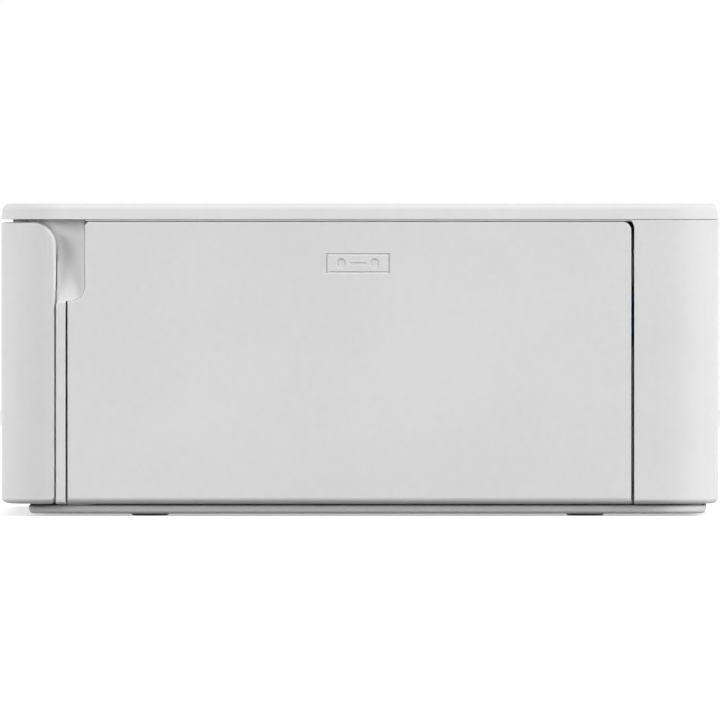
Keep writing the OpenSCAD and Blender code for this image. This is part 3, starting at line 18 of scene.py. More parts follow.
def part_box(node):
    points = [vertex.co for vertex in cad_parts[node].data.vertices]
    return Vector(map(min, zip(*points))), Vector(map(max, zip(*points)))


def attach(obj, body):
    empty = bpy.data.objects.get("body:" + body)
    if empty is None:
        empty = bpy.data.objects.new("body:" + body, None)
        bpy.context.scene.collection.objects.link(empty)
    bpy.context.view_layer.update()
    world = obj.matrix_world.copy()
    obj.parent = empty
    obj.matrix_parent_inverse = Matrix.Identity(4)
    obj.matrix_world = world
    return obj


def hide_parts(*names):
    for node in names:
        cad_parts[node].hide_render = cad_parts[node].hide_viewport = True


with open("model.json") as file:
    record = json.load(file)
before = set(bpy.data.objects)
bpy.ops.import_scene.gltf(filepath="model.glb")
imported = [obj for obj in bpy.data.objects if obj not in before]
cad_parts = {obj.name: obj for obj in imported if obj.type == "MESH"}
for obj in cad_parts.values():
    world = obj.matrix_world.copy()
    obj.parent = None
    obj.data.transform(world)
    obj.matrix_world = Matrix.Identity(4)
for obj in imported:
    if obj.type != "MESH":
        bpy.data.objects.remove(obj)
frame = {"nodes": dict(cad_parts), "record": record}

logging.basicConfig(level=logging.INFO, format="%(levelname)s %(message)s")
log = logging.getLogger("photo_printer")

MM = 0.001

# Distances in millimetres.
OFF_FACE = 0.02  # a cut stays this far off a packed face
ROOT = 0.4  # an end that was cut off goes this far into the wall that carries it
CLEAR = 0.3  # a cutter starts this far above the face that it cuts
BEYOND = 1.0  # a cutter ends this far past what it has to cut through
DROP = 0.15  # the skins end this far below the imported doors
DOOR_GAP = 0.2  # the front frame starts this far behind the front door
REACH = (100.0, 70.0)  # half of a box that holds the whole printer
HALFWAY = 20.0  # a height between what stands on the base and what hangs from the cover
LEVEL = 0.005  # a point this close to a cut lies on it

SAME = 2e-6  # in metres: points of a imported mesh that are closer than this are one

Point = tuple[float, float]
Spot = tuple[float, float, float]
Colour = tuple[float, float, float]
Sizes = tuple[float, ...]


class Axis(Enum):
    """The three axes of the printer's frame."""

    X = 0
    Y = 1
    Z = 2


# ---------------------------------------------------------------- shader maths


class Value:
    """A number in a material: Python's operators on it add Math nodes."""

    def __init__(self, shade: "Shade", socket: bpy.types.NodeSocket) -> None:
        """Wrap a socket.

        Args:
            shade: the material that the socket is in.
            socket: an output that carries a number.
        """
        self.shade = shade
        self.socket = socket

    def math(self, operation: str, *others: Union["Value", float], swap: bool = False) -> "Value":
        """Add one Math node.

        Args:
            operation: the node's operation.
            others: its other inputs.
            swap: True puts this value second.

        Returns:
            The node's result.
        """
        terms = [self, *others]
        if swap:
            terms.reverse()
        made = self.shade.node("ShaderNodeMath", {"operation": operation}, dict(enumerate(terms)))
        return Value(self.shade, made.outputs[0])

    def __add__(self, other: Union["Value", float]) -> "Value":
        """Sum."""
        return self.math("ADD", other)

    __radd__ = __add__

    def __sub__(self, other: Union["Value", float]) -> "Value":
        """Difference."""
        return self.math("SUBTRACT", other)

    def __rsub__(self, other: Union["Value", float]) -> "Value":
        """Difference with the number first."""
        return self.math("SUBTRACT", other, swap=True)

    def __mul__(self, other: Union["Value", float]) -> "Value":
        """Product."""
        return self.math("MULTIPLY", other)

    __rmul__ = __mul__

    def __truediv__(self, other: Union["Value", float]) -> "Value":
        """Quotient."""
        return self.math("DIVIDE", other)

    def sine(self) -> "Value":
        """Sine of the value in radians."""
        return self.math("SINE")

    def step(self, low: float, high: float) -> "Value":
        """Smooth step from 0 at low to 1 at high.

        Args:
            low: where the step starts.
            high: where it ends.

        Returns:
            The step.
        """
        made = self.shade.node(
            "ShaderNodeMapRange",
            {"interpolation_type": "SMOOTHSTEP"},
            {"Value": self, "From Min": low, "From Max": high},
        )
        return Value(self.shade, made.outputs[0])


class Shade:
    """One material's node tree, with its Principled shader."""

    def __init__(self, name: str) -> None:
        """Start a material.

        Args:
            name: the material's name.
        """
        self.material = bpy.data.materials.new(name)
        self.material.use_nodes = True
        self.tree = self.material.node_tree
        self.shader = self.tree.nodes["Principled BSDF"]

    def node(
        self, kind: str, settings: Optional[dict] = None, inputs: Optional[dict] = None
    ) -> bpy.types.Node:
        """Add a node.

        Args:
            kind: the node's type name.
            settings: attributes of the node, set before its sockets.
            inputs: socket name or number to a value, a socket or a Value.

        Returns:
            The new node.
        """
        made = self.tree.nodes.new(kind)
        for key, setting in (settings or {}).items():
            setattr(made, key, setting)
        for key, given in (inputs or {}).items():
            self.feed(made.inputs[key], given)
        return made

    def feed(self, socket: bpy.types.NodeSocket, given: object) -> None:
        """Link or set one input socket.

        Args:
            socket: the input.
            given: a number, a colour, a socket or a Value.
        """
        if isinstance(given, Value):
            given = given.socket
        if isinstance(given, bpy.types.NodeSocket):
            self.tree.links.new(given, socket)
        else:
            socket.default_value = given

    def set(self, **inputs: object) -> None:
        """Feed the Principled shader; an underscore in a name stands for a space."""
        for key, given in inputs.items():
            self.feed(self.shader.inputs[key.replace("_", " ")], given)

    def place(self, scale: Spot = (1.0, 1.0, 1.0)) -> bpy.types.NodeSocket:
        """Object coordinates, stretched along each axis.

        Args:
            scale: factor on each axis.

        Returns:
            The place as a vector socket.
        """
        coords = self.node("ShaderNodeTexCoord")
        inputs = {"Vector": coords.outputs["Object"], "Scale": scale}
        return self.node("ShaderNodeMapping", {}, inputs).outputs[0]

    def axis(self, axis: Axis) -> Value:
        """One object coordinate, in metres.

        Args:
            axis: the axis to read.

        Returns:
            The coordinate.
        """
        coords = self.node("ShaderNodeTexCoord")
        parts = self.node("ShaderNodeSeparateXYZ", {}, {0: coords.outputs["Object"]})
        return Value(self, parts.outputs[axis.value])

    def noise(self, size_mm: float, detail: float = 2.0, stretch: Spot = (1.0, 1.0, 1.0)) -> Value:
        """Noise whose patches are about size_mm across, from 0 to 1.

        Args:
            size_mm: width of a patch.
            detail: finer octaves on top.
            stretch: factor on each axis's frequency.

        Returns:
            The noise.
        """
        inputs = {"Vector": self.place(stretch), "Scale": 1.0 / (size_mm * MM), "Detail": detail}
        return Value(self, self.node("ShaderNodeTexNoise", {}, inputs).outputs[0])

    def cells(self, size_mm: float) -> Value:
        """Distance to the nearest cell, for cells about size_mm across.

        Args:
            size_mm: width of a cell.

        Returns:
            The distance.
        """
        inputs = {"Vector": self.place(), "Scale": 1.0 / (size_mm * MM)}
        return Value(self, self.node("ShaderNodeTexVoronoi", {}, inputs).outputs[0])

    def blend(self, mask: Union[Value, float], low: object, high: object) -> bpy.types.NodeSocket:
        """Mix two colours by a mask.

        Args:
            mask: 0 gives the first colour, 1 the second.
            low: the first colour.
            high: the second colour.

        Returns:
            The mixed colour.
        """
        made = self.node("ShaderNodeMix", {"data_type": "RGBA"}, {"Factor": mask})
        for socket, given in zip([s for s in made.inputs if s.type == "RGBA"], (low, high)):
            if isinstance(given, tuple):
                given = (*given[:3], 1.0)
            self.feed(socket, given)
        return next(s for s in made.outputs if s.type == "RGBA")

    def bump(self, height: Value, depth_mm: float) -> None:
        """Drive the shader's normal from a height between 0 and 1 that is depth_mm deep.

        Args:
            height: the relief.
            depth_mm: its depth.
        """
        inputs = {"Height": height, "Distance": depth_mm * MM, "Strength": 1.0}
        self.set(Normal=self.node("ShaderNodeBump", {}, inputs).outputs[0])


def shaded(colour: Colour, factor: float) -> Colour:
    """A colour made darker or lighter by a factor."""
    return tuple(min(1.0, part * factor) for part in colour)


# ---------------------------------------------------------------- finishes


@dataclass(frozen=True)
class MouldedPlastic:
    """Injection-moulded plastic with a fine spark-eroded grain."""

    name: str
    colour: Colour
    roughness: float = 0.5
    grain_mm: float = 0.32
    grain_depth_mm: float = 0.012
    specular: float = 0.5
    mottle: float = 0.03
    sheen: float = 0.0
    cloud_mm: float = 38.0
    speck_mm: float = 1.6
    handled_mm: float = 14.0

    def material(self) -> bpy.types.Material:
        """Build the material.

        Returns:
            The material.
        """
        shade = Shade(self.name)
        cloud = shade.noise(self.cloud_mm, 3.0)
        speck = shade.noise(self.speck_mm, 2.0)
        tint = (cloud * 0.7 + speck * 0.3).step(0.3, 0.7)
        dark, light = shaded(self.colour, 1 - self.mottle), shaded(self.colour, 1 + self.mottle)
        colour = shade.blend(tint, dark, light)
        grain = shade.noise(self.grain_mm, 2.5) * 0.65 + shade.cells(self.grain_mm * 1.6) * 0.35
        handled = shade.noise(self.handled_mm, 4.0).step(0.45, 0.75)
        shade.set(
            Base_Color=colour,
            Roughness=self.roughness + (grain - 0.5) * 0.08 - handled * 0.05,
            Specular_IOR_Level=self.specular,
            Sheen_Weight=self.sheen,
        )
        shade.bump(grain, self.grain_depth_mm)
        return shade.material


@dataclass(frozen=True)
class SheetMetal:
    """Plated or brushed metal with scratches along one axis."""

    name: str
    colour: Colour
    roughness: float = 0.32
    along: Axis = Axis.Y
    scratch_mm: float = 0.25
    depth_mm: float = 0.004
    spangle_mm: float = 6.0
    stain_mm: float = 24.0

    def material(self) -> bpy.types.Material:
        """Build the material.

        Returns:
            The material.
        """
        shade = Shade(self.name)
        stretch = tuple(0.03 if axis is self.along else 1.0 for axis in Axis)
        lines = shade.noise(self.scratch_mm, 3.0, stretch)
        spangle = shade.cells(self.spangle_mm)
        stain = shade.noise(self.stain_mm, 4.0)
        mask = (lines * 0.45 + spangle * 0.2 + stain * 0.35).step(0.25, 0.75)
        shade.set(
            Base_Color=shade.blend(mask, shaded(self.colour, 0.86), shaded(self.colour, 1.08)),
            Metallic=1.0,
            Roughness=self.roughness + (lines - 0.5) * 0.18 + (stain - 0.5) * 0.08,
        )
        shade.bump(lines, self.depth_mm)
        return shade.material


@dataclass(frozen=True)
class SoftRubber:
    """Matt rubber with a fine ground or cast texture."""

    name: str
    colour: Colour
    ground: Optional[Axis] = None
    pore_mm: float = 0.5
    dust_mm: float = 7.0
    depth_mm: float = 0.02

    def material(self) -> bpy.types.Material:
        """Build the material.

        Returns:
            The material.
        """
        shade = Shade(self.name)
        stretch = (1.0, 1.0, 1.0) if self.ground is None else tuple(
            0.2 if axis is self.ground else 1.0 for axis in Axis
        )
        pores = shade.noise(self.pore_mm, 3.0, stretch)
        dust = shade.noise(self.dust_mm, 4.0).step(0.45, 0.8)
        shade.set(
            Base_Color=shade.blend(dust, self.colour, shaded(self.colour, 1.5)),
            Roughness=0.78 + (pores - 0.5) * 0.16,
            Specular_IOR_Level=0.3,
        )
        shade.bump(pores, self.depth_mm)
        return shade.material


@dataclass(frozen=True)
class DisplayWindow:
    """Gloss black window with the switched-off display just visible under it."""

    name: str
    colour: Colour
    middle: Point
    view: Point
    panel_colour: Colour = (0.022, 0.024, 0.03)
    edge_mm: float = 0.3
    print_mm: float = 9.0
    wave_mm: float = 30.0

    def material(self) -> bpy.types.Material:
        """Build the material.

        Returns:
            The material.
        """
        shade = Shade(self.name)
        across = (shade.axis(Axis.X) - self.middle[0]).math("ABSOLUTE")
        along = (shade.axis(Axis.Y) - self.middle[1]).math("ABSOLUTE")
        edge = self.edge_mm * MM
        inside = (1 - across.step(self.view[0] / 2 - edge, self.view[0] / 2 + edge)) * (
            1 - along.step(self.view[1] / 2 - edge, self.view[1] / 2 + edge)
        )
        prints = shade.noise(self.print_mm, 4.0).step(0.5, 0.85)
        shade.set(
            Base_Color=shade.blend(inside, self.colour, self.panel_colour),
            Roughness=0.07 + prints * 0.08 + inside * 0.02,
            Specular_IOR_Level=0.4,
        )
        shade.bump(shade.noise(self.wave_mm, 2.0), 0.01)
        return shade.material


@dataclass(frozen=True)
class CircuitBoard:
    """Solder mask over copper tracks, with bare pads."""

    name: str
    colour: Colour
    track_mm: float = 1.3
    wander_mm: float = 9.0
    field_mm: float = 16.0
    pad_mm: float = 2.6
    pad_colour: Colour = (0.62, 0.60, 0.55)

    def material(self) -> bpy.types.Material:
        """Build the material.

        Returns:
            The material.
        """
        shade = Shade(self.name)
        wander = shade.noise(self.wander_mm, 0.0)
        runs_x = ((shade.axis(Axis.X) / (self.track_mm * MM) + wander * 6.0) * math.tau).sine()
        runs_y = ((shade.axis(Axis.Y) / (self.track_mm * MM) + wander * 6.0) * math.tau).sine()
        side = shade.noise(self.field_mm, 0.0).step(0.48, 0.52)
        tracks = (runs_x * side + runs_y * (1 - side)).step(0.1, 0.3)
        pads = 1 - shade.cells(self.pad_mm).step(0.14, 0.2)
        masked = shade.blend(tracks, self.colour, shaded(self.colour, 1.7))
        shade.set(
            Base_Color=shade.blend(pads, masked, self.pad_colour),
            Metallic=pads * 0.8,
            Roughness=0.36 - pads * 0.1 + shade.noise(3.0) * 0.08,
        )
        shade.bump(tracks * 0.6 + pads * 0.4, 0.03)
        return shade.material


@dataclass(frozen=True)
class DyedFilm:
    """Thin glossy film wound in tight turns, with fine lines across its ends."""

    name: str
    colour: Colour
    turn_mm: float = 0.35
    band_mm: float = 20.0

    def material(self) -> bpy.types.Material:
        """Build the material.

        Returns:
            The material.
        """
        shade = Shade(self.name)
        turns = shade.noise(self.turn_mm, 1.0, (0.02, 1.0, 1.0))
        bands = shade.noise(self.band_mm, 2.0, (1.0, 0.05, 0.05)).step(0.35, 0.65)
        shade.set(
            Base_Color=shade.blend(bands, shaded(self.colour, 0.75), shaded(self.colour, 1.25)),
            Roughness=0.2 + (turns - 0.5) * 0.12,
            Coat_Weight=0.3,
            Coat_Roughness=0.1,
        )
        shade.bump(turns, 0.02)
        return shade.material


# ---------------------------------------------------------------- outlines and solids


@dataclass(frozen=True)
class Corner:
    """A corner of an outline in millimetres; ease scales the round along the edge that starts here."""

    u: float
    v: float
    r: float = 0.0
    ease: float = 1.0


class Outline:
    """Closed outline with round corners, its corners given anticlockwise."""

    def __init__(self, corners: Sequence[Corner], arc_steps: int = 10) -> None:
        """Keep the corners.

        Args:
            corners: the corners, anticlockwise.
            arc_steps: edges on each round corner.
        """
        self.corners = list(corners)
        self.arc_steps = arc_steps

    @classmethod
    def box(cls, low: Point, high: Point, r: float = 0.0, arc_steps: int = 10) -> "Outline":
        """Rectangle with four equal corners."""
        (u0, v0), (u1, v1) = low, high
        spots = ((u0, v0), (u1, v0), (u1, v1), (u0, v1))
        return cls([Corner(u, v, r) for u, v in spots], arc_steps)

    @classmethod
    def disc(cls, spot: Point, r: float, steps: int) -> "Outline":
        """Circle round a spot."""
        u, v = spot
        return cls.box((u - r, v - r), (u + r, v + r), r, steps // 4)

    def points(self, inset: float = 0.0) -> list[Point]:
        """Points of the outline; every inset gives as many.

        Args:
            inset: distance by which the outline is drawn in.

        Returns:
            The points, anticlockwise.
        """
        found: list[Point] = []
        count = len(self.corners)
        for i, corner in enumerate(self.corners):
            here = Vector((corner.u, corner.v))
            before, after = self.corners[i - 1], self.corners[(i + 1) % count]
            ahead = (here - Vector((before.u, before.v))).normalized()
            onward = (Vector((after.u, after.v)) - here).normalized()
            inward = Vector((-ahead.y, ahead.x))
            inward_next = Vector((-onward.y, onward.x))
            first, second = inset * before.ease, inset * corner.ease
            square = 1 - inward.dot(inward_next) ** 2
            if square < 1e-9:
                spot = here + inward * (first + second) / 2
            else:
                share = (first - second * inward.dot(inward_next)) / square
                share_next = (second - first * inward.dot(inward_next)) / square
                spot = here + inward * share + inward_next * share_next
            inset_here = (first + second) / 2
            if corner.r == 0:
                found.append((spot.x, spot.y))
                continue
            turn = ahead.angle_signed(onward) * -1
            radius = max(corner.r - inset_here, 0.0) if turn > 0 else corner.r + inset_here
            tangent = radius * math.tan(abs(turn) / 2)
            side = 1 if turn > 0 else -1
            centre = spot - ahead * tangent + inward * radius * side
            spoke = (spot - ahead * tangent) - centre
            for k in range(self.arc_steps + 1):
                angle = turn * k / self.arc_steps
                cos, sin = math.cos(angle), math.sin(angle)
                found.append(
                    (centre.x + spoke.x * cos - spoke.y * sin, centre.y + spoke.x * sin + spoke.y * cos)
                )
        return found


@dataclass(frozen=True)
class Ring:
    """One level of a lofted solid: how far in the outline is drawn, and at which depth."""

    inset: float
    depth: float


def lifted(rings: Iterable[Ring], level: float) -> list[Ring]:
    """Levels counted from a height in place of the front."""
    return [Ring(ring.inset, level + ring.depth) for ring in rings]


def mouth(deep: float, flare: float) -> list[Ring]:
    """Levels of a cutter that is wider by flare where it enters a face."""
    return [Ring(-flare - CLEAR, -CLEAR), Ring(-flare, 0.0), Ring(0.0, flare), Ring(0.0, deep)]


def fillet_rings(radius: float, depth: float, back: float = 0.0, steps: int = 5) -> list[Ring]:
    """Levels of a slab with a round front edge and a round back edge.

    Args:
        radius: round on the front edge.
        depth: thickness of the slab.
        back: round on the back edge.
        steps: edges on each round.

    Returns:
        The levels, from the front to the back.
    """
    rings = []
    for k in range(steps + 1 if radius else 1):
        angle = math.pi / 2 * k / steps
        rings.append(Ring(radius * (1 - math.sin(angle)), radius * (1 - math.cos(angle))))
    for k in range(steps + 1 if back else 1):
        angle = math.pi / 2 * k / steps
        rings.append(Ring(back * (1 - math.cos(angle)), depth - back * (1 - math.sin(angle))))
    return rings


def link(name: str, mesh: bpy.types.Mesh) -> bpy.types.Object:
    """Put a mesh into the scene as an object at the origin.

    Args:
        name: the object's name.
        mesh: its mesh.

    Returns:
        The object.
    """
    made = bpy.data.objects.new(name, mesh)
    bpy.context.scene.collection.objects.link(made)
    return made


def loft(name: str, outline: Outline, rings: Sequence[Ring]) -> bpy.types.Object:
    """Closed solid through the levels of an outline; u, v and depth become X, Y and Z in millimetres.

    Args:
        name: the object's name.
        outline: the outline at inset 0.
        rings: its levels.

    Returns:
        The object.
    """
    mesh = bmesh.new()
    levels = [
        [mesh.verts.new((u, v, ring.depth)) for u, v in outline.points(ring.inset)] for ring in rings
    ]
    for low, high in zip(levels, levels[1:]):
        for i in range(len(low)):
            mesh.faces.new((low[i - 1], low[i], high[i], high[i - 1]))
    mesh.faces.new(levels[0])
    mesh.faces.new(list(reversed(levels[-1])))
    bmesh.ops.remove_doubles(mesh, verts=mesh.verts, dist=1e-4)
    bmesh.ops.recalc_face_normals(mesh, faces=mesh.faces)
    data = bpy.data.meshes.new(name)
    mesh.to_mesh(data)
    mesh.free()
    return link(name, data)


def edit(obj: bpy.types.Object, change: Callable[[bmesh.types.BMesh], None]) -> bpy.types.Object:
    """Change an object's mesh through bmesh.

    Args:
        obj: the object.
        change: what is done to its mesh.

    Returns:
        The object.
    """
    mesh = bmesh.new()
    mesh.from_mesh(obj.data)
    change(mesh)
    mesh.to_mesh(obj.data)
    mesh.free()
    obj.data.update()
    return obj


def baked(obj: bpy.types.Object) -> bpy.types.Object:
    """Turn an object with its modifiers into a plain mesh.

    Args:
        obj: the object.

    Returns:
        The object.
    """
    bpy.context.view_layer.update()
    evaluated = obj.evaluated_get(bpy.context.evaluated_depsgraph_get())
    mesh = bpy.data.meshes.new_from_object(evaluated)
    obj.modifiers.clear()
    obj.data = mesh
    return obj


def cut(
    obj: bpy.types.Object, tools: Iterable[bpy.types.Object], operation: str = "DIFFERENCE"
) -> bpy.types.Object:
    """Cut an object by solids, which are used up.

    Args:
        obj: the object to change.
        tools: the cutting solids.
        operation: what the Boolean modifier does.

    Returns:
        The object.
    """
    tools = list(tools)
    for tool in tools:
        modifier = obj.modifiers.new("cut", "BOOLEAN")
        modifier.operation = operation
        modifier.solver = "EXACT"
        modifier.object = tool
    baked(obj)
    for tool in tools:
        bpy.data.objects.remove(tool, do_unlink=True)
    return obj


def joined(name: str, parts: Sequence[bpy.types.Object]) -> bpy.types.Object:
    """Join objects into one mesh, material slots included.

    Args:
        name: the new object's name.
        parts: the objects, which are used up.

    Returns:
        The new object.
    """
    mesh = bmesh.new()
    materials: list[bpy.types.Material] = []
    for part in parts:
        shift = {}
        for index, material in enumerate(part.data.materials):
            if material not in materials:
                materials.append(material)
            shift[index] = materials.index(material)
        start = len(mesh.faces)
        mesh.from_mesh(part.data)
        mesh.faces.ensure_lookup_table()
        for face in mesh.faces[start:]:
            face.material_index = shift.get(face.material_index, 0)
    data = bpy.data.meshes.new(name)
    mesh.to_mesh(data)
    mesh.free()
    for material in materials:
        data.materials.append(material)
    for part in parts:
        bpy.data.objects.remove(part, do_unlink=True)
    return link(name, data)


def moved(obj: bpy.types.Object, matrix: Matrix) -> bpy.types.Object:
    """Move an object's vertices by a matrix.

    Args:
        obj: the object.
        matrix: the move.

    Returns:
        The object.
    """
    obj.data.transform(matrix)
    if matrix.determinant() < 0:
        obj.data.flip_normals()
    return obj


def in_metres(obj: bpy.types.Object) -> bpy.types.Object:
    """Bring an object that was drawn in millimetres to metres."""
    return moved(obj, Matrix.Scale(MM, 4))


def turned(obj: bpy.types.Object, spot: Point, degrees: float) -> bpy.types.Object:
    """Turn an object about Z, then move it from the origin to a spot in millimetres."""
    place = Matrix.Translation((spot[0] * MM, spot[1] * MM, 0))
    return moved(obj, place @ Matrix.Rotation(math.radians(degrees), 4, "Z"))


def smooth(obj: bpy.types.Object, angle: float = 32.0) -> bpy.types.Object:
    """Shade smooth, with edges sharper than the angle left sharp and flat faces kept flat.

    Args:
        obj: the object.
        angle: the angle in degrees.

    Returns:
        The object.
    """
    for face in obj.data.polygons:
        face.use_smooth = True
    obj.data.set_sharp_from_angle(angle=math.radians(angle))
    weigh = obj.modifiers.new("weigh", "WEIGHTED_NORMAL")
    weigh.keep_sharp = True
    weigh.weight = 100
    return baked(obj)


def softened(
    obj: bpy.types.Object, width_mm: float, segments: int = 2, angle: float = 28.0
) -> bpy.types.Object:
    """Round the sharp edges of an object in metres.

    Args:
        obj: the object.
        width_mm: how much of each face the round takes.
        segments: edges on the round.
        angle: edges flatter than this stay.

    Returns:
        The object.
    """
    round_off = obj.modifiers.new("round", "BEVEL")
    round_off.width = width_mm * MM
    round_off.segments = segments
    round_off.limit_method = "ANGLE"
    round_off.angle_limit = math.radians(angle)
    round_off.use_clamp_overlap = True
    round_off.miter_outer = "MITER_ARC"
    baked(obj)
    return smooth(obj)


def divide(mesh: bmesh.types.BMesh, axis: Axis, level: float) -> None:
    """Divide a mesh in millimetres along a plane across an axis.

    Args:
        mesh: the mesh.
        axis: the axis that the plane stands across.
        level: the plane's place on that axis.
    """
    spot, normal = [0.0, 0.0, 0.0], [0.0, 0.0, 0.0]
    spot[axis.value], normal[axis.value] = level, 1.0
    everything = [*mesh.verts, *mesh.edges, *mesh.faces]
    bmesh.ops.bisect_plane(mesh, geom=everything, plane_co=spot, plane_no=normal, dist=1e-5)


class Wrap:
    """The way round the case, from the middle of the front past the right side."""

    def __init__(self, half: Point, radius: float) -> None:
        """Take the footprint.

        Args:
            half: half its width and half its depth.
            radius: radius of its corners.
        """
        self.half_x, self.half_y = half
        self.radius = radius
        self.flat_x = self.half_x - radius
        self.flat_y = self.half_y - radius
        self.arc = math.pi / 2 * radius
        self.lengths = [self.flat_x, self.arc, 2 * self.flat_y, self.arc, 2 * self.flat_x, self.arc]
        self.lengths += [2 * self.flat_y, self.arc, self.flat_x]

    def right(self, y: float) -> float:
        """Distance along the way of a place on the right side."""
        return self.flat_x + self.arc + self.flat_y + y

    def back(self, x: float) -> float:
        """Distance along the way of a place on the back."""
        return self.right(self.flat_y) + self.arc + self.flat_x - x

    def left(self, y: float) -> float:
        """Distance along the way of a place on the left side."""
        return self.back(-self.flat_x) + self.arc + self.flat_y - y

    def place(self, u: float, depth: float) -> Point:
        """X and Y of a place on the way, or depth inside it.

        Args:
            u: distance along the way.
            depth: distance inside it.

        Returns:
            X and Y.
        """
        total = sum(self.lengths)
        u %= total
        heading = -math.pi / 2
        x, y = 0.0, -self.half_y
        for index, length in enumerate(self.lengths):
            run = min(u, length)
            if index % 2 == 0:
                x += run * -math.sin(heading)
                y += run * math.cos(heading)
            else:
                cx, cy = x - self.radius * math.cos(heading), y - self.radius * math.sin(heading)
                heading += run / self.radius
                x, y = cx + self.radius * math.cos(heading), cy + self.radius * math.sin(heading)
            u -= run
            if u <= 1e-9:
                break
        return x - depth * math.cos(heading), y - depth * math.sin(heading)

    def creases(self, step: float = 0.9) -> list[float]:
        """Distances at which a panel is divided so that it can follow the corners.

        Args:
            step: distance between two creases.

        Returns:
            The distances along the way.
        """
        found, start = [], 0.0
        for _ in range(2):
            for index, length in enumerate(self.lengths):
                if index % 2:
                    count = max(1, round(length / step))
                    found += [start + length * k / count for k in range(count + 1)]
                start += length
        low = [value - sum(self.lengths) for value in found]
        return sorted(low + found)

    def divided(self, obj: bpy.types.Object) -> bpy.types.Object:
        """Divide a flat panel in millimetres where it is going to follow the corners.

        Args:
            obj: the panel.

        Returns:
            The panel.
        """
        across = [vert.co.x for vert in obj.data.vertices]
        low, high = min(across), max(across)

        def divide_all(mesh: bmesh.types.BMesh) -> None:
            """Cut the mesh along every crease.

            Args:
                mesh: the panel's mesh.
            """
            for crease in self.creases():
                if low + 1e-4 < crease < high - 1e-4:
                    divide(mesh, Axis.X, crease)

        return edit(obj, divide_all)

    def bend(self, obj: bpy.types.Object) -> bpy.types.Object:
        """Lay a divided flat panel in millimetres round the case, in metres.

        Args:
            obj: the panel.

        Returns:
            The panel.
        """

        def follow(mesh: bmesh.types.BMesh) -> None:
            """Set every corner of the mesh on the way round.

            Args:
                mesh: the panel's mesh.
            """
            for vert in mesh.verts:
                x, y = self.place(vert.co.x, vert.co.z)
                vert.co = Vector((x, y, vert.co.y)) * MM
            bmesh.ops.recalc_face_normals(mesh, faces=mesh.faces)

        return edit(obj, follow)


def plate_in(obj: bpy.types.Object, normal: Axis, outer: float) -> bpy.types.Object:
    """Stand a flat panel in millimetres up on a face, in metres.

    Args:
        obj: the panel, with its front at depth 0.
        normal: axis that its front faces along.
        outer: the front's place on that axis, in millimetres.

    Returns:
        The object.
    """

    def stand(mesh: bmesh.types.BMesh) -> None:
        """Turn every corner of the mesh into its place on the face.

        Args:
            mesh: the panel's mesh.
        """
        for vert in mesh.verts:
            u, v, depth = vert.co
            level = outer - depth
            spots = {Axis.X: (level, u, v), Axis.Y: (u, level, v), Axis.Z: (u, v, level)}
            vert.co = Vector(spots[normal]) * MM
        bmesh.ops.recalc_face_normals(mesh, faces=mesh.faces)

    return edit(obj, stand)


# ---------------------------------------------------------------- finishing and fitting


class Slot(Enum):
    """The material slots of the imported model."""

    SHELL = "shell_white"
    BASE = "base_grey"
    FOOT = "foot_rubber"
    GLASS = "glass_black"
    KEYS = "key_grey"
    SHEET = "sheet_steel"
    BRIGHT = "bright_steel"
    BOARD = "board_green"
    BLACK = "black_plastic"
    FRAME = "frame_grey"
    ACETAL = "acetal"
    BRASS = "brass"
    ROLLER = "roller_rubber"
    ALUMINIUM = "heat_aluminium"
    CERAMIC = "ceramic"
    CASSETTE = "cassette_blue"
    RIBBON = "ribbon_blue"
    GOLD = "ribbon_gold"


def span(node: str, axis: Axis) -> Point:
    """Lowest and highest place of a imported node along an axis, in millimetres."""
    low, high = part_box(node)
    return low[axis.value] / MM, high[axis.value] / MM


def middle(node: str, axis: Axis) -> float:
    """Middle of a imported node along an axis, in millimetres."""
    return sum(span(node, axis)) / 2


def footprint(node: str) -> tuple[Point, Point]:
    """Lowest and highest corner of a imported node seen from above, in millimetres."""
    (x0, x1), (y0, y1) = span(node, Axis.X), span(node, Axis.Y)
    return (x0, y0), (x1, y1)


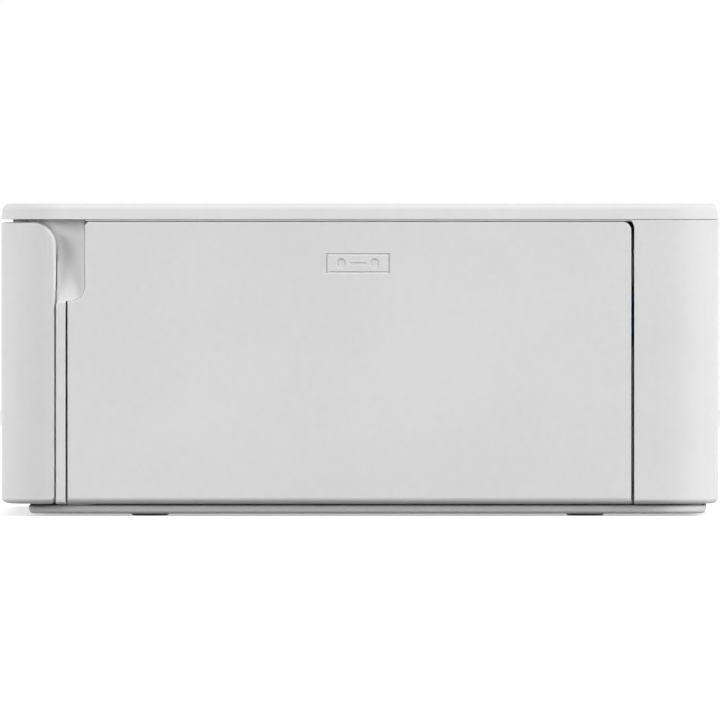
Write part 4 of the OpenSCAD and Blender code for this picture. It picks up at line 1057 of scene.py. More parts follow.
class Workshop:
    """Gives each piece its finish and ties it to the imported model."""

    PIERCED = ("rear_guide", "card_slot")

    def __init__(self, finishes: dict[Slot, object]) -> None:
        """Keep the finishes; their materials are made when first used.

        Args:
            finishes: the finish of every slot.
        """
        self.finishes = finishes
        self.materials: dict[Slot, bpy.types.Material] = {}
        self.repeat = Repeat()
        record = frame["record"]["behaviour"]["bodies"]
        self.body_of = {node: body for body, nodes in record.items() for node in nodes}

    def material(self, slot: Slot) -> bpy.types.Material:
        """The material of a slot.

        Args:
            slot: the slot.

        Returns:
            The material.
        """
        if slot not in self.materials:
            self.materials[slot] = self.finishes[slot].material()
        return self.materials[slot]

    def paint(self, obj: bpy.types.Object, slot: Slot) -> bpy.types.Object:
        """Give a mesh one finish.

        Args:
            obj: the mesh object.
            slot: slot of its finish.

        Returns:
            The object.
        """
        obj.data.materials.clear()
        obj.data.materials.append(self.material(slot))
        return obj

    def fit(self, obj: bpy.types.Object, slot: Slot, node: str) -> bpy.types.Object:
        """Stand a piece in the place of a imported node, on the same body.

        Args:
            obj: the piece.
            slot: its finish, which it gets if it has no material yet.
            node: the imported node.

        Returns:
            The piece.
        """
        if not obj.data.materials:
            self.paint(obj, slot)
        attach(obj, self.body_of[node])
        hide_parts(node)
        log.info("%s: %d faces, on %s", obj.name, len(obj.data.polygons), self.body_of[node])
        return obj

    def copy_of(self, node: str) -> bpy.types.Object:
        """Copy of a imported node's mesh, its points merged and its flat faces made whole.

        Args:
            node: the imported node.

        Returns:
            The copy.
        """
        made = link(f"{node}_dressed", frame["nodes"][node].data.copy())
        made.data.materials.clear()

        def clean(mesh: bmesh.types.BMesh) -> None:
            """Merge the loose triangles.

            Args:
                mesh: the copy's mesh.
            """
            bmesh.ops.remove_doubles(mesh, verts=mesh.verts, dist=SAME)
            if node not in self.PIERCED:
                limit = math.radians(0.1)
                bmesh.ops.dissolve_limit(mesh, angle_limit=limit, verts=mesh.verts, edges=mesh.edges)

        return edit(made, clean)

    def dress(self, node: str, slot: Slot, round_mm: float) -> bpy.types.Object:
        """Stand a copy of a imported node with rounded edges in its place."""
        return self.fit(softened(self.copy_of(node), round_mm), slot, node)


def clipped(obj: bpy.types.Object, low: Spot, high: Spot, keep: bool = True) -> bpy.types.Object:
    """Keep or take away what lies in a box, in millimetres.

    Args:
        obj: the object, in metres.
        low: one corner of the box.
        high: the opposite corner.
        keep: False takes away what lies inside.

    Returns:
        The object.
    """
    rings = [Ring(0, low[2]), Ring(0, high[2])]
    tool = in_metres(loft("clip", Outline.box(low[:2], high[:2]), rings))
    return cut(obj, [tool], "INTERSECT" if keep else "DIFFERENCE")


def between(obj: bpy.types.Object, low: float, high: float) -> bpy.types.Object:
    """Keep what lies between two heights, in millimetres."""
    return clipped(obj, (-REACH[0], -REACH[1], low), (*REACH, high))


def rooted(obj: bpy.types.Object, axis: Axis, level: float, by: float) -> bpy.types.Object:
    """Push the end that was cut off at a level into the wall that it stands on.

    Args:
        obj: the piece, in metres.
        axis: the axis that it was cut across.
        level: where it was cut, in millimetres.
        by: how far its end moves, in millimetres.

    Returns:
        The piece.
    """
    for vert in obj.data.vertices:
        if abs(vert.co[axis.value] / MM - level) < LEVEL:
            vert.co[axis.value] += by * MM
    return obj


def block(name: str, low: Spot, high: Spot, edge: float) -> bpy.types.Object:
    """Upright block between two corners, in millimetres, with round edges at its top.

    Args:
        name: the object's name.
        low: its lowest corner.
        high: its highest corner.
        edge: round on the edges of its top.

    Returns:
        The object, in metres.
    """
    rings = fillet_rings(edge, high[2] - low[2], steps=3)
    return plate_in(loft(name, Outline.box(low[:2], high[:2]), rings), Axis.Z, high[2])


class Repeat:
    """Geometry Nodes tree that sets one shape at given places and along a row."""

    INPUTS = {
        "Places": "NodeSocketGeometry",
        "Shape": "NodeSocketObject",
        "Count": "NodeSocketInt",
        "Start": "NodeSocketVector",
        "Step": "NodeSocketVector",
        "Size": "NodeSocketFloat",
        "Spread": "NodeSocketFloat",
        "Seed": "NodeSocketInt",
        "Finish": "NodeSocketMaterial",
    }

    def __init__(self, seed: int = 11) -> None:
        """Build the tree.

        Args:
            seed: seed of the turns that differ from one shape to the next.
        """
        self.seed = seed
        self.tree = bpy.data.node_groups.new("repeat", "GeometryNodeTree")
        face = self.tree.interface
        self.keys = {
            name: face.new_socket(name, in_out="INPUT", socket_type=kind).identifier
            for name, kind in self.INPUTS.items()
        }
        face.new_socket("Result", in_out="OUTPUT", socket_type="NodeSocketGeometry")
        given = self.node("NodeGroupInput", {})
        row = self.node(
            "GeometryNodeMeshLine",
            {
                "Count": given.outputs["Count"],
                "Start Location": given.outputs["Start"],
                "Offset": given.outputs["Step"],
            },
        )
        places = self.node("GeometryNodeJoinGeometry", {})
        self.tree.links.new(given.outputs["Places"], places.inputs[0])
        self.tree.links.new(row.outputs["Mesh"], places.inputs[0])
        shape = self.node("GeometryNodeObjectInfo", {"Object": given.outputs["Shape"]})
        least, most = 2, 3
        turn = self.node(
            "FunctionNodeRandomValue",
            {least: 0.0, most: given.outputs["Spread"], "Seed": given.outputs["Seed"]},
        )
        way = self.node("ShaderNodeCombineXYZ", {"Z": turn.outputs[1]})
        copies = self.node(
            "GeometryNodeInstanceOnPoints",
            {
                "Points": places.outputs[0],
                "Instance": shape.outputs["Geometry"],
                "Rotation": way.outputs[0],
                "Scale": given.outputs["Size"],
            },
        )
        real = self.node("GeometryNodeRealizeInstances", {"Geometry": copies.outputs[0]})
        inputs = {"Geometry": real.outputs[0], "Material": given.outputs["Finish"]}
        finish = self.node("GeometryNodeSetMaterial", inputs)
        self.node("NodeGroupOutput", {"Result": finish.outputs[0]})

    def node(self, kind: str, inputs: dict) -> bpy.types.Node:
        """Add a node and feed its inputs.

        Args:
            kind: the node's type name.
            inputs: socket name or number to a value or a socket.

        Returns:
            The new node.
        """
        made = self.tree.nodes.new(kind)
        for key, given in inputs.items():
            if isinstance(given, bpy.types.NodeSocket):
                self.tree.links.new(given, made.inputs[key])
            else:
                made.inputs[key].default_value = given
        return made

    def make(
        self,
        name: str,
        shape: bpy.types.Object,
        finish: bpy.types.Material,
        places: Sequence[Spot] = (),
        row: tuple[int, Spot, Spot] = (0, (0.0, 0.0, 0.0), (0.0, 0.0, 0.0)),
        spread: float = 0.0,
        unit: float = MM,
    ) -> bpy.types.Object:
        """Set the shape and use it up.

        Args:
            name: name of the result.
            shape: what is repeated, around its origin.
            finish: its material.
            places: where copies stand, in millimetres.
            row: number of further copies in a row, the first one's place and the step, in millimetres.
            spread: largest turn of a copy about Z, in radians.
            unit: size of a millimetre in the result.

        Returns:
            One plain mesh of all copies.
        """
        mesh = bpy.data.meshes.new(name)
        mesh.from_pydata([Vector(place) * unit for place in places], [], [])
        host = link(name, mesh)
        modifier = host.modifiers.new("repeat", "NODES")
        modifier.node_group = self.tree
        count, start, step = row
        settings = {
            "Shape": shape,
            "Count": count,
            "Start": tuple(Vector(start) * unit),
            "Step": tuple(Vector(step) * unit),
            "Size": 1.0,
            "Spread": spread,
            "Seed": self.seed,
            "Finish": finish,
        }
        for key, setting in settings.items():
            modifier[self.keys[key]] = setting
        baked(host)
        bpy.data.objects.remove(shape, do_unlink=True)
        return host


# ---------------------------------------------------------------- outer case


def read(node: str, axis: Axis, end: int, off: float = 0.0) -> float:
    """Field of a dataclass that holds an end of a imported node.

    Args:
        node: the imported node.
        axis: the axis to read along.
        end: 0 for the lowest place, 1 for the highest.
        off: distance that is added.

    Returns:
        The field, in millimetres.
    """
    return field(default_factory=lambda: span(node, axis)[end] + off)


@dataclass
class Casing:
    """Outer sizes of the printer in millimetres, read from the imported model, and its corners."""

    corner: float = 12.0
    wall: float = 1.8
    half_x: float = read("main_shell", Axis.X, 1)
    half_y: float = read("main_shell", Axis.Y, 1)
    skirt: float = read("ink_door", Axis.Z, 0, -DROP)
    cover_low: float = read("main_shell", Axis.Z, 1)
    top: float = read("top_cover", Axis.Z, 1)
    shell_front: float = read("main_shell", Axis.Y, 0)
    door_top: float = read("ink_door", Axis.Z, 1)
    door_rear: float = read("ink_door", Axis.Y, 1)
    frame_front: float = read("front_door", Axis.Y, 1, DOOR_GAP)
    cheek_front: float = read("front_frame", Axis.Y, 0)
    rear_gap: float = 0.45

    def wrap(self) -> Wrap:
        """The way round the case."""
        return Wrap((self.half_x, self.half_y), self.corner)


@dataclass
class Assembly:
    """A group of pieces that the workshop finishes."""

    shop: Workshop
    casing: Casing

    def build(self) -> None:
        """Make every piece of the group."""
        raise NotImplementedError


def slot_cutter(low: Point, high: Point, depth: float, r: float, flare: float = 0.25) -> bpy.types.Object:
    """Cutter for a hole in a flat panel, wider at the panel's face.

    Args:
        low: lowest corner of the hole in the panel's plane.
        high: highest corner.
        depth: how deep it cuts.
        r: radius of the hole's corners.
        flare: width of the bevel round its mouth.

    Returns:
        The cutter, in millimetres.
    """
    return loft("slot", Outline.box(low, high, r, 4), mouth(depth, flare))


@dataclass
class MainShell(Assembly):
    """Left side, back and right rear of the case, in one bent panel."""

    # Socket to how far its opening lies inside its box along Y and Z, and the radius of its corners.
    OPENINGS = {"card_slot": (1.0, 0.5, 0.6), "usb_port": (-0.5, -0.4, 0.8)}

    # Rounds of the panel, and how much of them each edge gets.
    edge: float = 1.35
    inner_edge: float = 0.15
    low_ease: float = 0.72
    ease: float = 0.12
    front_r: Sizes = (0.4, 0.3)
    # The beak that follows the top corner of the ink door.
    beak: float = 2.4
    beak_r: float = 2.1
    beak_deep: float = 0.7
    beak_bevel: float = 0.12
    # The shallow field on the back.
    field_deep: float = 0.15
    field_up: Point = (4.0, 39.0)
    field_half: float = 71.1
    field_r: float = 3.0
    # Vents, paper slit and power socket.
    vent_count: int = 7
    vent_pitch: float = 3.52
    vent_half: Point = (0.8, 12.0)
    vent_r: float = 0.79
    slit_half: float = 53.0
    slit_high: float = 4.6
    slit_r: float = 1.2
    inlet_r: float = 3.9
    flare: float = 0.5
    deep: float = 2.8
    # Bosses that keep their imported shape.
    boss_from: float = 0.3
    boss_low: float = 2.0
    boss_round: float = 0.15

    def cutters(self, wrap: Wrap) -> list[bpy.types.Object]:
        """Holes for the vents, the sockets and the paper.

        Args:
            wrap: the way round the case.

        Returns:
            The cutters.
        """
        found = []
        fan_y, fan_z = middle("fan_frame", Axis.Y), middle("fan_rotor", Axis.Z)
        across, up = self.vent_half
        first = wrap.left(fan_y) - (self.vent_count - 1) / 2 * self.vent_pitch
        row = (self.vent_count, (first, fan_z, 0.0), (self.vent_pitch, 0.0, 0.0))
        vent = slot_cutter((-across, -up), (across, up), self.deep, self.vent_r)
        finish = self.shop.material(Slot.SHELL)
        found.append(self.shop.repeat.make("vents", vent, finish, row=row, unit=1.0))
        for node, (in_y, in_z, r) in self.OPENINGS.items():
            (y0, y1), (z0, z1) = span(node, Axis.Y), span(node, Axis.Z)
            low, high = (wrap.left(y1 - in_y), z0 + in_z), (wrap.left(y0 + in_y), z1 - in_z)
            found.append(slot_cutter(low, high, self.deep, r))
        slit, guide = span("rear_guide", Axis.Z)[1], middle("rear_guide", Axis.X)
        low = (wrap.back(guide + self.slit_half), slit)
        high = (wrap.back(guide - self.slit_half), slit + self.slit_high)
        found.append(slot_cutter(low, high, self.deep, self.slit_r, self.flare))
        spot = (wrap.back(middle("dc_inlet", Axis.X)), middle("dc_inlet", Axis.Z))
        inlet = Outline.disc(spot, self.inlet_r, 48)
        found.append(loft("slot", inlet, mouth(self.deep, self.flare)))
        return found

    def front_edge(self, start: float) -> list[bpy.types.Object]:
        """Cutters that let the right end of the panel follow the corner of the ink door.

        Args:
            start: where the panel starts along the way.

        Returns:
            The cutters.
        """
        case = self.casing
        low = (start - self.beak - 2 * BEYOND, -BEYOND)
        high = (start, case.cover_low + CLEAR)
        face, back = (-BEYOND, self.beak_deep), (self.beak_deep - 0.01, 4 * BEYOND)
        found = []
        for r, (down, up) in ((self.beak_r, face), (0.0, back)):
            corners = [Corner(*low), Corner(high[0], low[1]), Corner(*high, r), Corner(low[0], high[1])]
            rings = [Ring(0, down), Ring(0, up)]
            if r:
                bevel = self.beak_bevel
                rings = [Ring(-bevel, down), Ring(-bevel, 0.0), Ring(0.0, bevel), Ring(0.0, up)]
            found.append(loft("end", Outline(corners, 14), rings))
        return found

    def back_field(self, wrap: Wrap) -> bpy.types.Object:
        """Cutter for the shallow field on the back.

        Args:
            wrap: the way round the case.

        Returns:
            The cutter.
        """
        low = (wrap.back(self.field_half), self.casing.skirt + self.field_up[0])
        high = (wrap.back(-self.field_half), self.casing.skirt + self.field_up[1])
        deep = self.field_deep
        rings = [Ring(-deep - CLEAR, -CLEAR), Ring(-deep, 0.0), Ring(0.0, deep)]
        return loft("field", Outline.box(low, high, self.field_r, 6), rings)

    def build(self) -> None:
        """Make the shell with its bosses."""
        case = self.casing
        wrap = case.wrap()
        start, stop = wrap.right(case.door_rear + case.rear_gap), wrap.left(case.shell_front)
        low_r, high_r = self.front_r
        corners = [
            Corner(start - self.beak, case.skirt, 0.0, self.low_ease),
            Corner(stop, case.skirt, low_r, self.ease),
            Corner(stop, case.cover_low, high_r, self.ease),
            Corner(start - self.beak, case.cover_low, 0.0, 0.0),
        ]
        rings = fillet_rings(self.edge, case.wall, self.inner_edge, 8)
        panel = loft("shell_panel", Outline(corners, 4), rings)
        wrap.divided(panel)
        cut(panel, self.front_edge(start))
        cut(panel, [self.back_field(wrap)])
        cut(panel, self.cutters(wrap))
        panel = smooth(wrap.bend(panel))
        inner = case.half_x - case.wall
        low = (-inner + OFF_FACE, case.shell_front + self.boss_from, self.boss_low)
        high = (inner - OFF_FACE, case.half_y - case.wall - OFF_FACE, HALFWAY)
        bosses = clipped(self.shop.copy_of("main_shell"), low, high)
        room = Outline.box((low[0], -case.half_y), high[:2], case.corner - case.wall, 24)
        inside = in_metres(loft("room", room, [Ring(0, 0), Ring(0, case.top)]))
        cut(bosses, [inside], "INTERSECT")
        parts = [panel, softened(bosses, self.boss_round)]
        self.shop.fit(joined("main_shell_dressed", parts), Slot.SHELL, "main_shell")


@dataclass
class BaseTray(Assembly):
    """Base tray with its feet and screws."""

    # Plate, and the posts on it.
    thick: float = 1.6
    edge: float = 0.8
    upper_edge: float = 0.35
    radius: float = 9.7
    front_in: float = 5.1
    side_in: float = 2.3
    posts_round: float = 0.15
    # Rubber feet.
    foot_rim: float = 1.5
    foot_round: float = 0.45
    foot_hollow: float = 0.3
    foot_seat: float = 0.5
    # Screws.
    head: float = 0.9
    head_round: float = 0.3
    slot_deep: float = 0.45
    tip: float = 0.6

    def plate(self) -> bpy.types.Object:
        """Plate of the tray with the seats of the feet and screws.

        Returns:
            The plate.
        """
        case, low = self.casing, span("base_tray", Axis.Z)[0]
        outline = Outline.box(
            (-case.half_x + self.side_in, -case.half_y + self.front_in),
            (case.half_x - self.side_in, case.half_y - self.side_in),
            self.radius,
            14,
        )
        rings = lifted(fillet_rings(self.edge, self.thick, self.upper_edge), low)
        plate = in_metres(loft("tray", outline, rings))
        tools = []
        for node, deep in (("rubber_feet", self.foot_seat), ("case_screws", self.head)):
            seat = [Ring(-CLEAR, low - CLEAR), Ring(0, low + 0.1), Ring(0, low + deep)]
            for spot, radius in self.rounds(node):
                tools.append(in_metres(loft("seat", Outline.disc(spot, radius, 48), seat)))
        return smooth(cut(plate, tools))

    def build(self) -> None:
        """Make the tray; its ears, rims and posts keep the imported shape."""
        top = span("base_tray", Axis.Z)[0] + self.thick
        level = top + OFF_FACE
        rest = rooted(between(self.shop.copy_of("base_tray"), level, HALFWAY), Axis.Z, level, -ROOT)
        parts = [self.plate(), softened(rest, self.posts_round)]
        self.shop.fit(joined("base_tray_dressed", parts), Slot.BASE, "base_tray")
        for node, slot, shape in (
            ("rubber_feet", Slot.FOOT, self.foot()),
            ("case_screws", Slot.BRIGHT, self.screw()),
        ):
            places = [(*spot, 0.0) for spot, _ in self.rounds(node)]
            name, finish = f"{node}_dressed", self.shop.material(slot)
            made = self.shop.repeat.make(name, shape, finish, places, spread=math.pi)
            self.shop.fit(made, slot, node)

    def foot(self) -> bpy.types.Object:
        """One rubber foot, hollow underneath.

        Returns:
            The foot.
        """
        low, high = span("rubber_feet", Axis.Z)
        r = self.rounds("rubber_feet")[0][1]
        deep = self.foot_hollow
        rings = [Ring(self.foot_rim + deep, low + deep), Ring(self.foot_rim, low + 0.05)]
        rings += lifted(fillet_rings(self.foot_round, high - low), low)
        return smooth(in_metres(loft("foot", Outline.disc((0, 0), r, 48), rings)))

    def screw(self) -> bpy.types.Object:
        """One case screw with a crossed slot in its head.

        Returns:
            The screw.
        """
        low, high = span("case_screws", Axis.Z)
        r = self.rounds("case_screws")[0][1]
        rings = lifted(fillet_rings(self.head_round, self.head, 0.05), low)
        shank = low + self.head + OFF_FACE
        rings += [Ring(r / 2, shank), Ring(r / 2, high - self.tip), Ring(r * 0.9, high)]
        made = loft("screw", Outline.disc((0, 0), r, 32), rings)
        long, line = r * 0.55, r * 0.13
        levels = (low - CLEAR, low + 0.1, low + self.slot_deep)
        slot_rings = [Ring(inset, level) for inset, level in zip((-0.05, 0.0, 0.1), levels)]
        boxes = [Outline.box((-long, -line), (long, line)), Outline.box((-line, -long), (line, long))]
        cut(made, [loft("slot", box, slot_rings) for box in boxes])
        return smooth(in_metres(made))

    def rounds(self, node: str) -> list[tuple[Point, float]]:
        """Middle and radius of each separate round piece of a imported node, in millimetres.

        Args:
            node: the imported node.

        Returns:
            Middle and radius of each piece.
        """
        mesh = bmesh.new()
        mesh.from_mesh(frame["nodes"][node].data)
        bmesh.ops.remove_doubles(mesh, verts=mesh.verts, dist=SAME)
        found, seen = [], set()
        for start in mesh.verts:
            if start in seen:
                continue
            stack, island = [start], []
            seen.add(start)
            while stack:
                vert = stack.pop()
                island.append(vert.co / MM)
                for edge in vert.link_edges:
                    other = edge.other_vert(vert)
                    if other not in seen:
                        seen.add(other)
                        stack.append(other)
            xs, ys = [v.x for v in island], [v.y for v in island]
            spot = ((min(xs) + max(xs)) / 2, (min(ys) + max(ys)) / 2)
            found.append((spot, (max(xs) - min(xs)) / 2))
        mesh.free()
        return found


@dataclass
class FrontDoor(Assembly):
    """Front door that wraps both front corners, with its hinge pins."""

    # Panel: its rounds, its corners and how much of the round each edge gets.
    thick: float = 1.6
    edge: float = 1.7
    inner_edge: float = 0.15
    upper_r: float = 4.6
    lower_r: float = 1.3
    low_ease: float = 0.6
    end_ease: float = 0.15
    top_ease: float = 0.16
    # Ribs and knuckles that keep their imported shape.
    rib_half: float = 79.0
    rib_round: float = 0.12

    def build(self) -> None:
        """Make the bent door, its rib and its knuckles."""
        case = self.casing
        wrap = case.wrap()
        back, low, high = span("front_door", Axis.Y)[1], case.skirt, span("front_door", Axis.Z)[1]
        reach = wrap.flat_x + case.corner * math.acos((-back - wrap.flat_y) / case.corner)
        corners = [
            Corner(-reach, low, self.lower_r, self.low_ease),
            Corner(reach, low, self.lower_r, self.end_ease),
            Corner(reach, high, self.upper_r, self.top_ease),
            Corner(-reach, high, self.upper_r, self.end_ease),
        ]
        rings = fillet_rings(self.edge, self.thick, self.inner_edge, 6)
        panel = smooth(wrap.bend(wrap.divided(loft("door_panel", Outline(corners, 12), rings))))
        level = -case.half_y + self.thick + OFF_FACE
        ribs = self.shop.copy_of("front_door")
        clipped(ribs, (-self.rib_half, level, low + OFF_FACE), (self.rib_half, back, high))
        parts = [panel, softened(rooted(ribs, Axis.Y, level, -ROOT), self.rib_round)]
        self.shop.fit(joined("front_door_dressed", parts), Slot.SHELL, "front_door")
        self.shop.dress("front_door_pins", Slot.BRIGHT, 0.1)


@dataclass
class InkDoor(Assembly):
    """Ink door on the right side, with its hinge."""

    # Panel: its rounds, and how much of them each edge gets from the lower one on.
    thick: float = 2.0
    edge: float = 1.7
    inner_edge: float = 0.1
    eases: Sizes = (0.72, 0.22, 0.16, 0.07, 0.2, 0.12)
    low_r: float = 0.3
    rear_r: float = 1.7
    # The notch that the finger scoop runs out to.
    scoop_back: float = -50.9
    scoop_low: float = 39.9
    notch_r: float = 2.8
    notch_top_r: float = 0.85
    ledge_r: float = 0.25
    # The sunk sign.
    mark_at: Point = (-0.4, 46.8)
    mark_half: Point = (6.0, 1.9)
    mark_line: float = 0.45
    mark_film: Point = (1.6, 0.2)
    mark_reel: Point = (3.1, 0.95)
    mark_deep: float = 0.18
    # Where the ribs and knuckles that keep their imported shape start.
    rest_from: Point = (70.0, -60.0)

    def mark(self, wrap: Wrap) -> list[bpy.types.Object]:
        """Cutters for the sunk sign of an ink cassette: a frame with two reels.

        Args:
            wrap: the way round the case.

        Returns:
            The cutters.
        """
        u, v = wrap.right(self.mark_at[0]), self.mark_at[1]
        (half_u, half_v), line = self.mark_half, self.mark_line
        film_u, film_v = self.mark_film
        reel_u, reel_r = self.mark_reel
        rings = [Ring(-0.12, -0.2), Ring(0.0, 0.02), Ring(0.08, self.mark_deep)]
        found = []
        for low, high in (
            ((u - half_u, v - half_v), (u + half_u, v - half_v + line)),
            ((u - half_u, v + half_v - line), (u + half_u, v + half_v)),
            ((u - half_u, v - half_v), (u - half_u + line, v + half_v)),
            ((u + half_u - line, v - half_v), (u + half_u, v + half_v)),
            ((u - film_u, v - film_v), (u + film_u, v + film_v)),
        ):
            found.append(loft("mark", Outline.box(low, high), rings))
        for side in (-1, 1):
            found.append(loft("mark", Outline.disc((u + side * reel_u, v), reel_r, 32), rings))
        return found

    def build(self) -> None:
        """Make the door, its ribs and knuckles, and the hinge behind it."""
        case = self.casing
        wrap = case.wrap()
        front, rear = wrap.right(span("ink_door", Axis.Y)[0]), wrap.right(case.door_rear)
        notch = wrap.right(self.scoop_back)
        places = (
            (front, case.skirt, self.low_r),
            (rear, case.skirt, self.low_r),
            (rear, case.door_top, self.rear_r),
            (notch, case.door_top, self.notch_top_r),
            (notch, self.scoop_low, self.notch_r),
            (front, self.scoop_low, self.ledge_r),
        )
        corners = [Corner(*place, ease) for place, ease in zip(places, self.eases)]
        rings = fillet_rings(self.edge, self.thick, self.inner_edge, 6)
        panel = loft("door_panel", Outline(corners, 10), rings)
        cut(panel, self.mark(wrap))
        panel = smooth(wrap.bend(panel))
        level = case.half_x - self.thick - OFF_FACE
        low = (*self.rest_from, case.skirt - BEYOND)
        high = (level, case.door_rear + BEYOND, case.door_top + BEYOND)
        rest = rooted(clipped(self.shop.copy_of("ink_door"), low, high), Axis.X, level, ROOT)
        self.shop.fit(joined("ink_door_dressed", [panel, smooth(rest)]), Slot.SHELL, "ink_door")
        self.shop.dress("hinge_bracket", Slot.SHELL, 0.2)
        self.shop.dress("ink_door_pins", Slot.BRIGHT, 0.1)


@dataclass
class FrontFrame(Assembly):
    """Frame behind the front door, with the finger scoop and a post at its right end."""

    # The scoop: a bowl round an axis above the doors, shallower towards the ink door.
    scoop_deep: float = 2.7
    scoop_wall: float = 3.9
    scoop_back: float = -50.96
    scoop_low: float = 39.86
    axis_up: float = 1.4
    flank: Point = (-56.0, -50.9)
    flank_share: float = 0.4
    rim: float = 0.5
    rim_r: float = 2.76
    ledge: float = 1.2
    grid: float = 0.3
    # Cheeks at both ends of the frame.
    cheek_x: Point = (80.2, 84.4)
    cheek_from: float = -61.4
    cheek_down: float = 4.9
    cheek_in: float = 2.3
    cheek_r: float = 4.2
    cheek_gap: float = 0.3
    cheek_back: float = 1.1
    # The post between the doors.
    post_back: float = -54.4
    post_edge: float = 1.2
    post_deep: float = 1.3
    post_sink: float = 0.2
    post_r: Sizes = (0.2, 0.1, 0.8)
    post_eases: Sizes = (0.8, 0.2, 0.4, 0.2)
    post_over: float = 1.5
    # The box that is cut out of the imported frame, and the round on what stays.
    cut_y: Point = (-60.0, -40.0)
    cut_top: float = 60.0
    frame_round: float = 0.2

    def depth(self, y: float, z: float) -> float:
        """How deep the scoop is at a place on the side.

        Args:
            y: place along the side.
            z: height.

        Returns:
            The depth.
        """
        case = self.casing
        axis_z = case.door_top + self.axis_up
        low, top = axis_z - self.scoop_low, self.axis_up
        off = (low * low - top * top - self.scoop_deep**2) / (2 * self.scoop_deep)
        radius = math.hypot(off, low)
        inside = max(radius**2 - (axis_z - z) ** 2, 0.0)
        arc = max(math.sqrt(inside) - off, 0.0)
        full = self.rim + (1 - self.rim / self.scoop_deep) * arc
        if y < case.frame_front:
            ahead = y + case.half_y - case.corner
            round_in = math.sqrt((case.corner - self.cheek_in) ** 2 - ahead**2)
            full = max(full, case.corner - round_in)
        share = (y - self.flank[0]) / (self.flank[1] - self.flank[0])
        share = min(max(share, 0.0), 1.0)
        share = self.flank_share * share * share * (3 - 2 * share)
        return full + (self.rim - full) * share

    def scoop(self) -> bpy.types.Object:
        """Block that carries the scoop, its face drawn in over a fine grid.

        Returns:
            The block.
        """
        case = self.casing
        wall = self.scoop_deep + self.scoop_wall
        low, high = (case.frame_front, self.scoop_low), (self.scoop_back, case.cover_low)
        under = self.scoop_low - self.ledge
        corners = [
            Corner(low[0], under),
            Corner(self.post_back, under),
            Corner(self.post_back, low[1]),
            Corner(high[0], low[1], self.rim_r),
            Corner(high[0], high[1]),
            Corner(self.cheek_from, high[1]),
            Corner(self.cheek_from, case.door_top - self.cheek_down),
            Corner(low[0], case.door_top - self.cheek_down),
        ]
        piece = loft("scoop", Outline(corners, 12), [Ring(0, 0), Ring(0, wall)])

        def draw_in(mesh: bmesh.types.BMesh) -> None:
            """Divide the face and draw it in.

            Args:
                mesh: the block's mesh.
            """
            for axis, start in ((Axis.X, self.cheek_from), (Axis.Y, under)):
                steps = int((high[axis.value] - start) / self.grid)
                for k in range(1, steps + 1):
                    divide(mesh, axis, start + k * self.grid)
            for vert in mesh.verts:
                if vert.co.z < wall / 2:
                    vert.co.z += self.depth(vert.co.x, vert.co.y)

        edit(piece, draw_in)
        return smooth(plate_in(piece, Axis.X, case.half_x), 50)

    def post(self) -> bpy.types.Object:
        """Skin of the post between the two doors.

        Returns:
            The skin.
        """
        case = self.casing
        low_r, back_r, front_r = self.post_r
        places = (
            (case.frame_front, case.skirt, low_r),
            (self.post_back, case.skirt, low_r),
            (self.post_back, self.scoop_low, back_r),
            (case.frame_front, self.scoop_low, front_r),
        )
        corners = [Corner(*place, ease) for place, ease in zip(places, self.post_eases)]
        rings = fillet_rings(self.post_edge, self.post_deep + self.post_sink, steps=6)
        return smooth(plate_in(loft("post", Outline(corners, 8), rings), Axis.X, case.half_x))

    def cheek_tops(self) -> list[bpy.types.Object]:
        """Blocks that close the gap between the cheeks and the cover.

        Returns:
            The blocks.
        """
        case = self.casing
        inner, outer = self.cheek_x
        front, back = case.cheek_front + self.cheek_gap, self.scoop_back - self.cheek_back
        rings = [Ring(0, 0), Ring(0, case.cover_low - case.door_top + self.cheek_gap)]
        found = []
        for low_x, high_x in ((inner, outer), (-outer, -inner)):
            corners = [
                Corner(low_x, front, 0.0 if low_x > 0 else self.cheek_r),
                Corner(high_x, front, self.cheek_r if low_x > 0 else 0.0),
                Corner(high_x, back),
                Corner(low_x, back),
            ]
            top = plate_in(loft("cheek", Outline(corners), rings), Axis.Z, case.cover_low)
            found.append(smooth(top))
        return found

    def build(self) -> None:
        """Make the frame, the scoop and the post."""
        case = self.casing
        frame_copy = self.shop.copy_of("front_frame")
        start = case.half_x - self.scoop_deep - self.scoop_wall
        ahead, behind = self.cut_y
        low = (start, case.frame_front + CLEAR, self.scoop_low)
        clipped(frame_copy, low, (REACH[0], behind, self.cut_top), keep=False)
        low = (case.half_x - self.post_deep, ahead, 0)
        high = (REACH[0], behind, self.scoop_low + self.post_over)
        clipped(frame_copy, low, high, keep=False)
        shape = softened(frame_copy, self.frame_round)
        parts = [shape, self.scoop(), self.post(), *self.cheek_tops()]
        self.shop.fit(joined("front_frame_dressed", parts), Slot.SHELL, "front_frame")


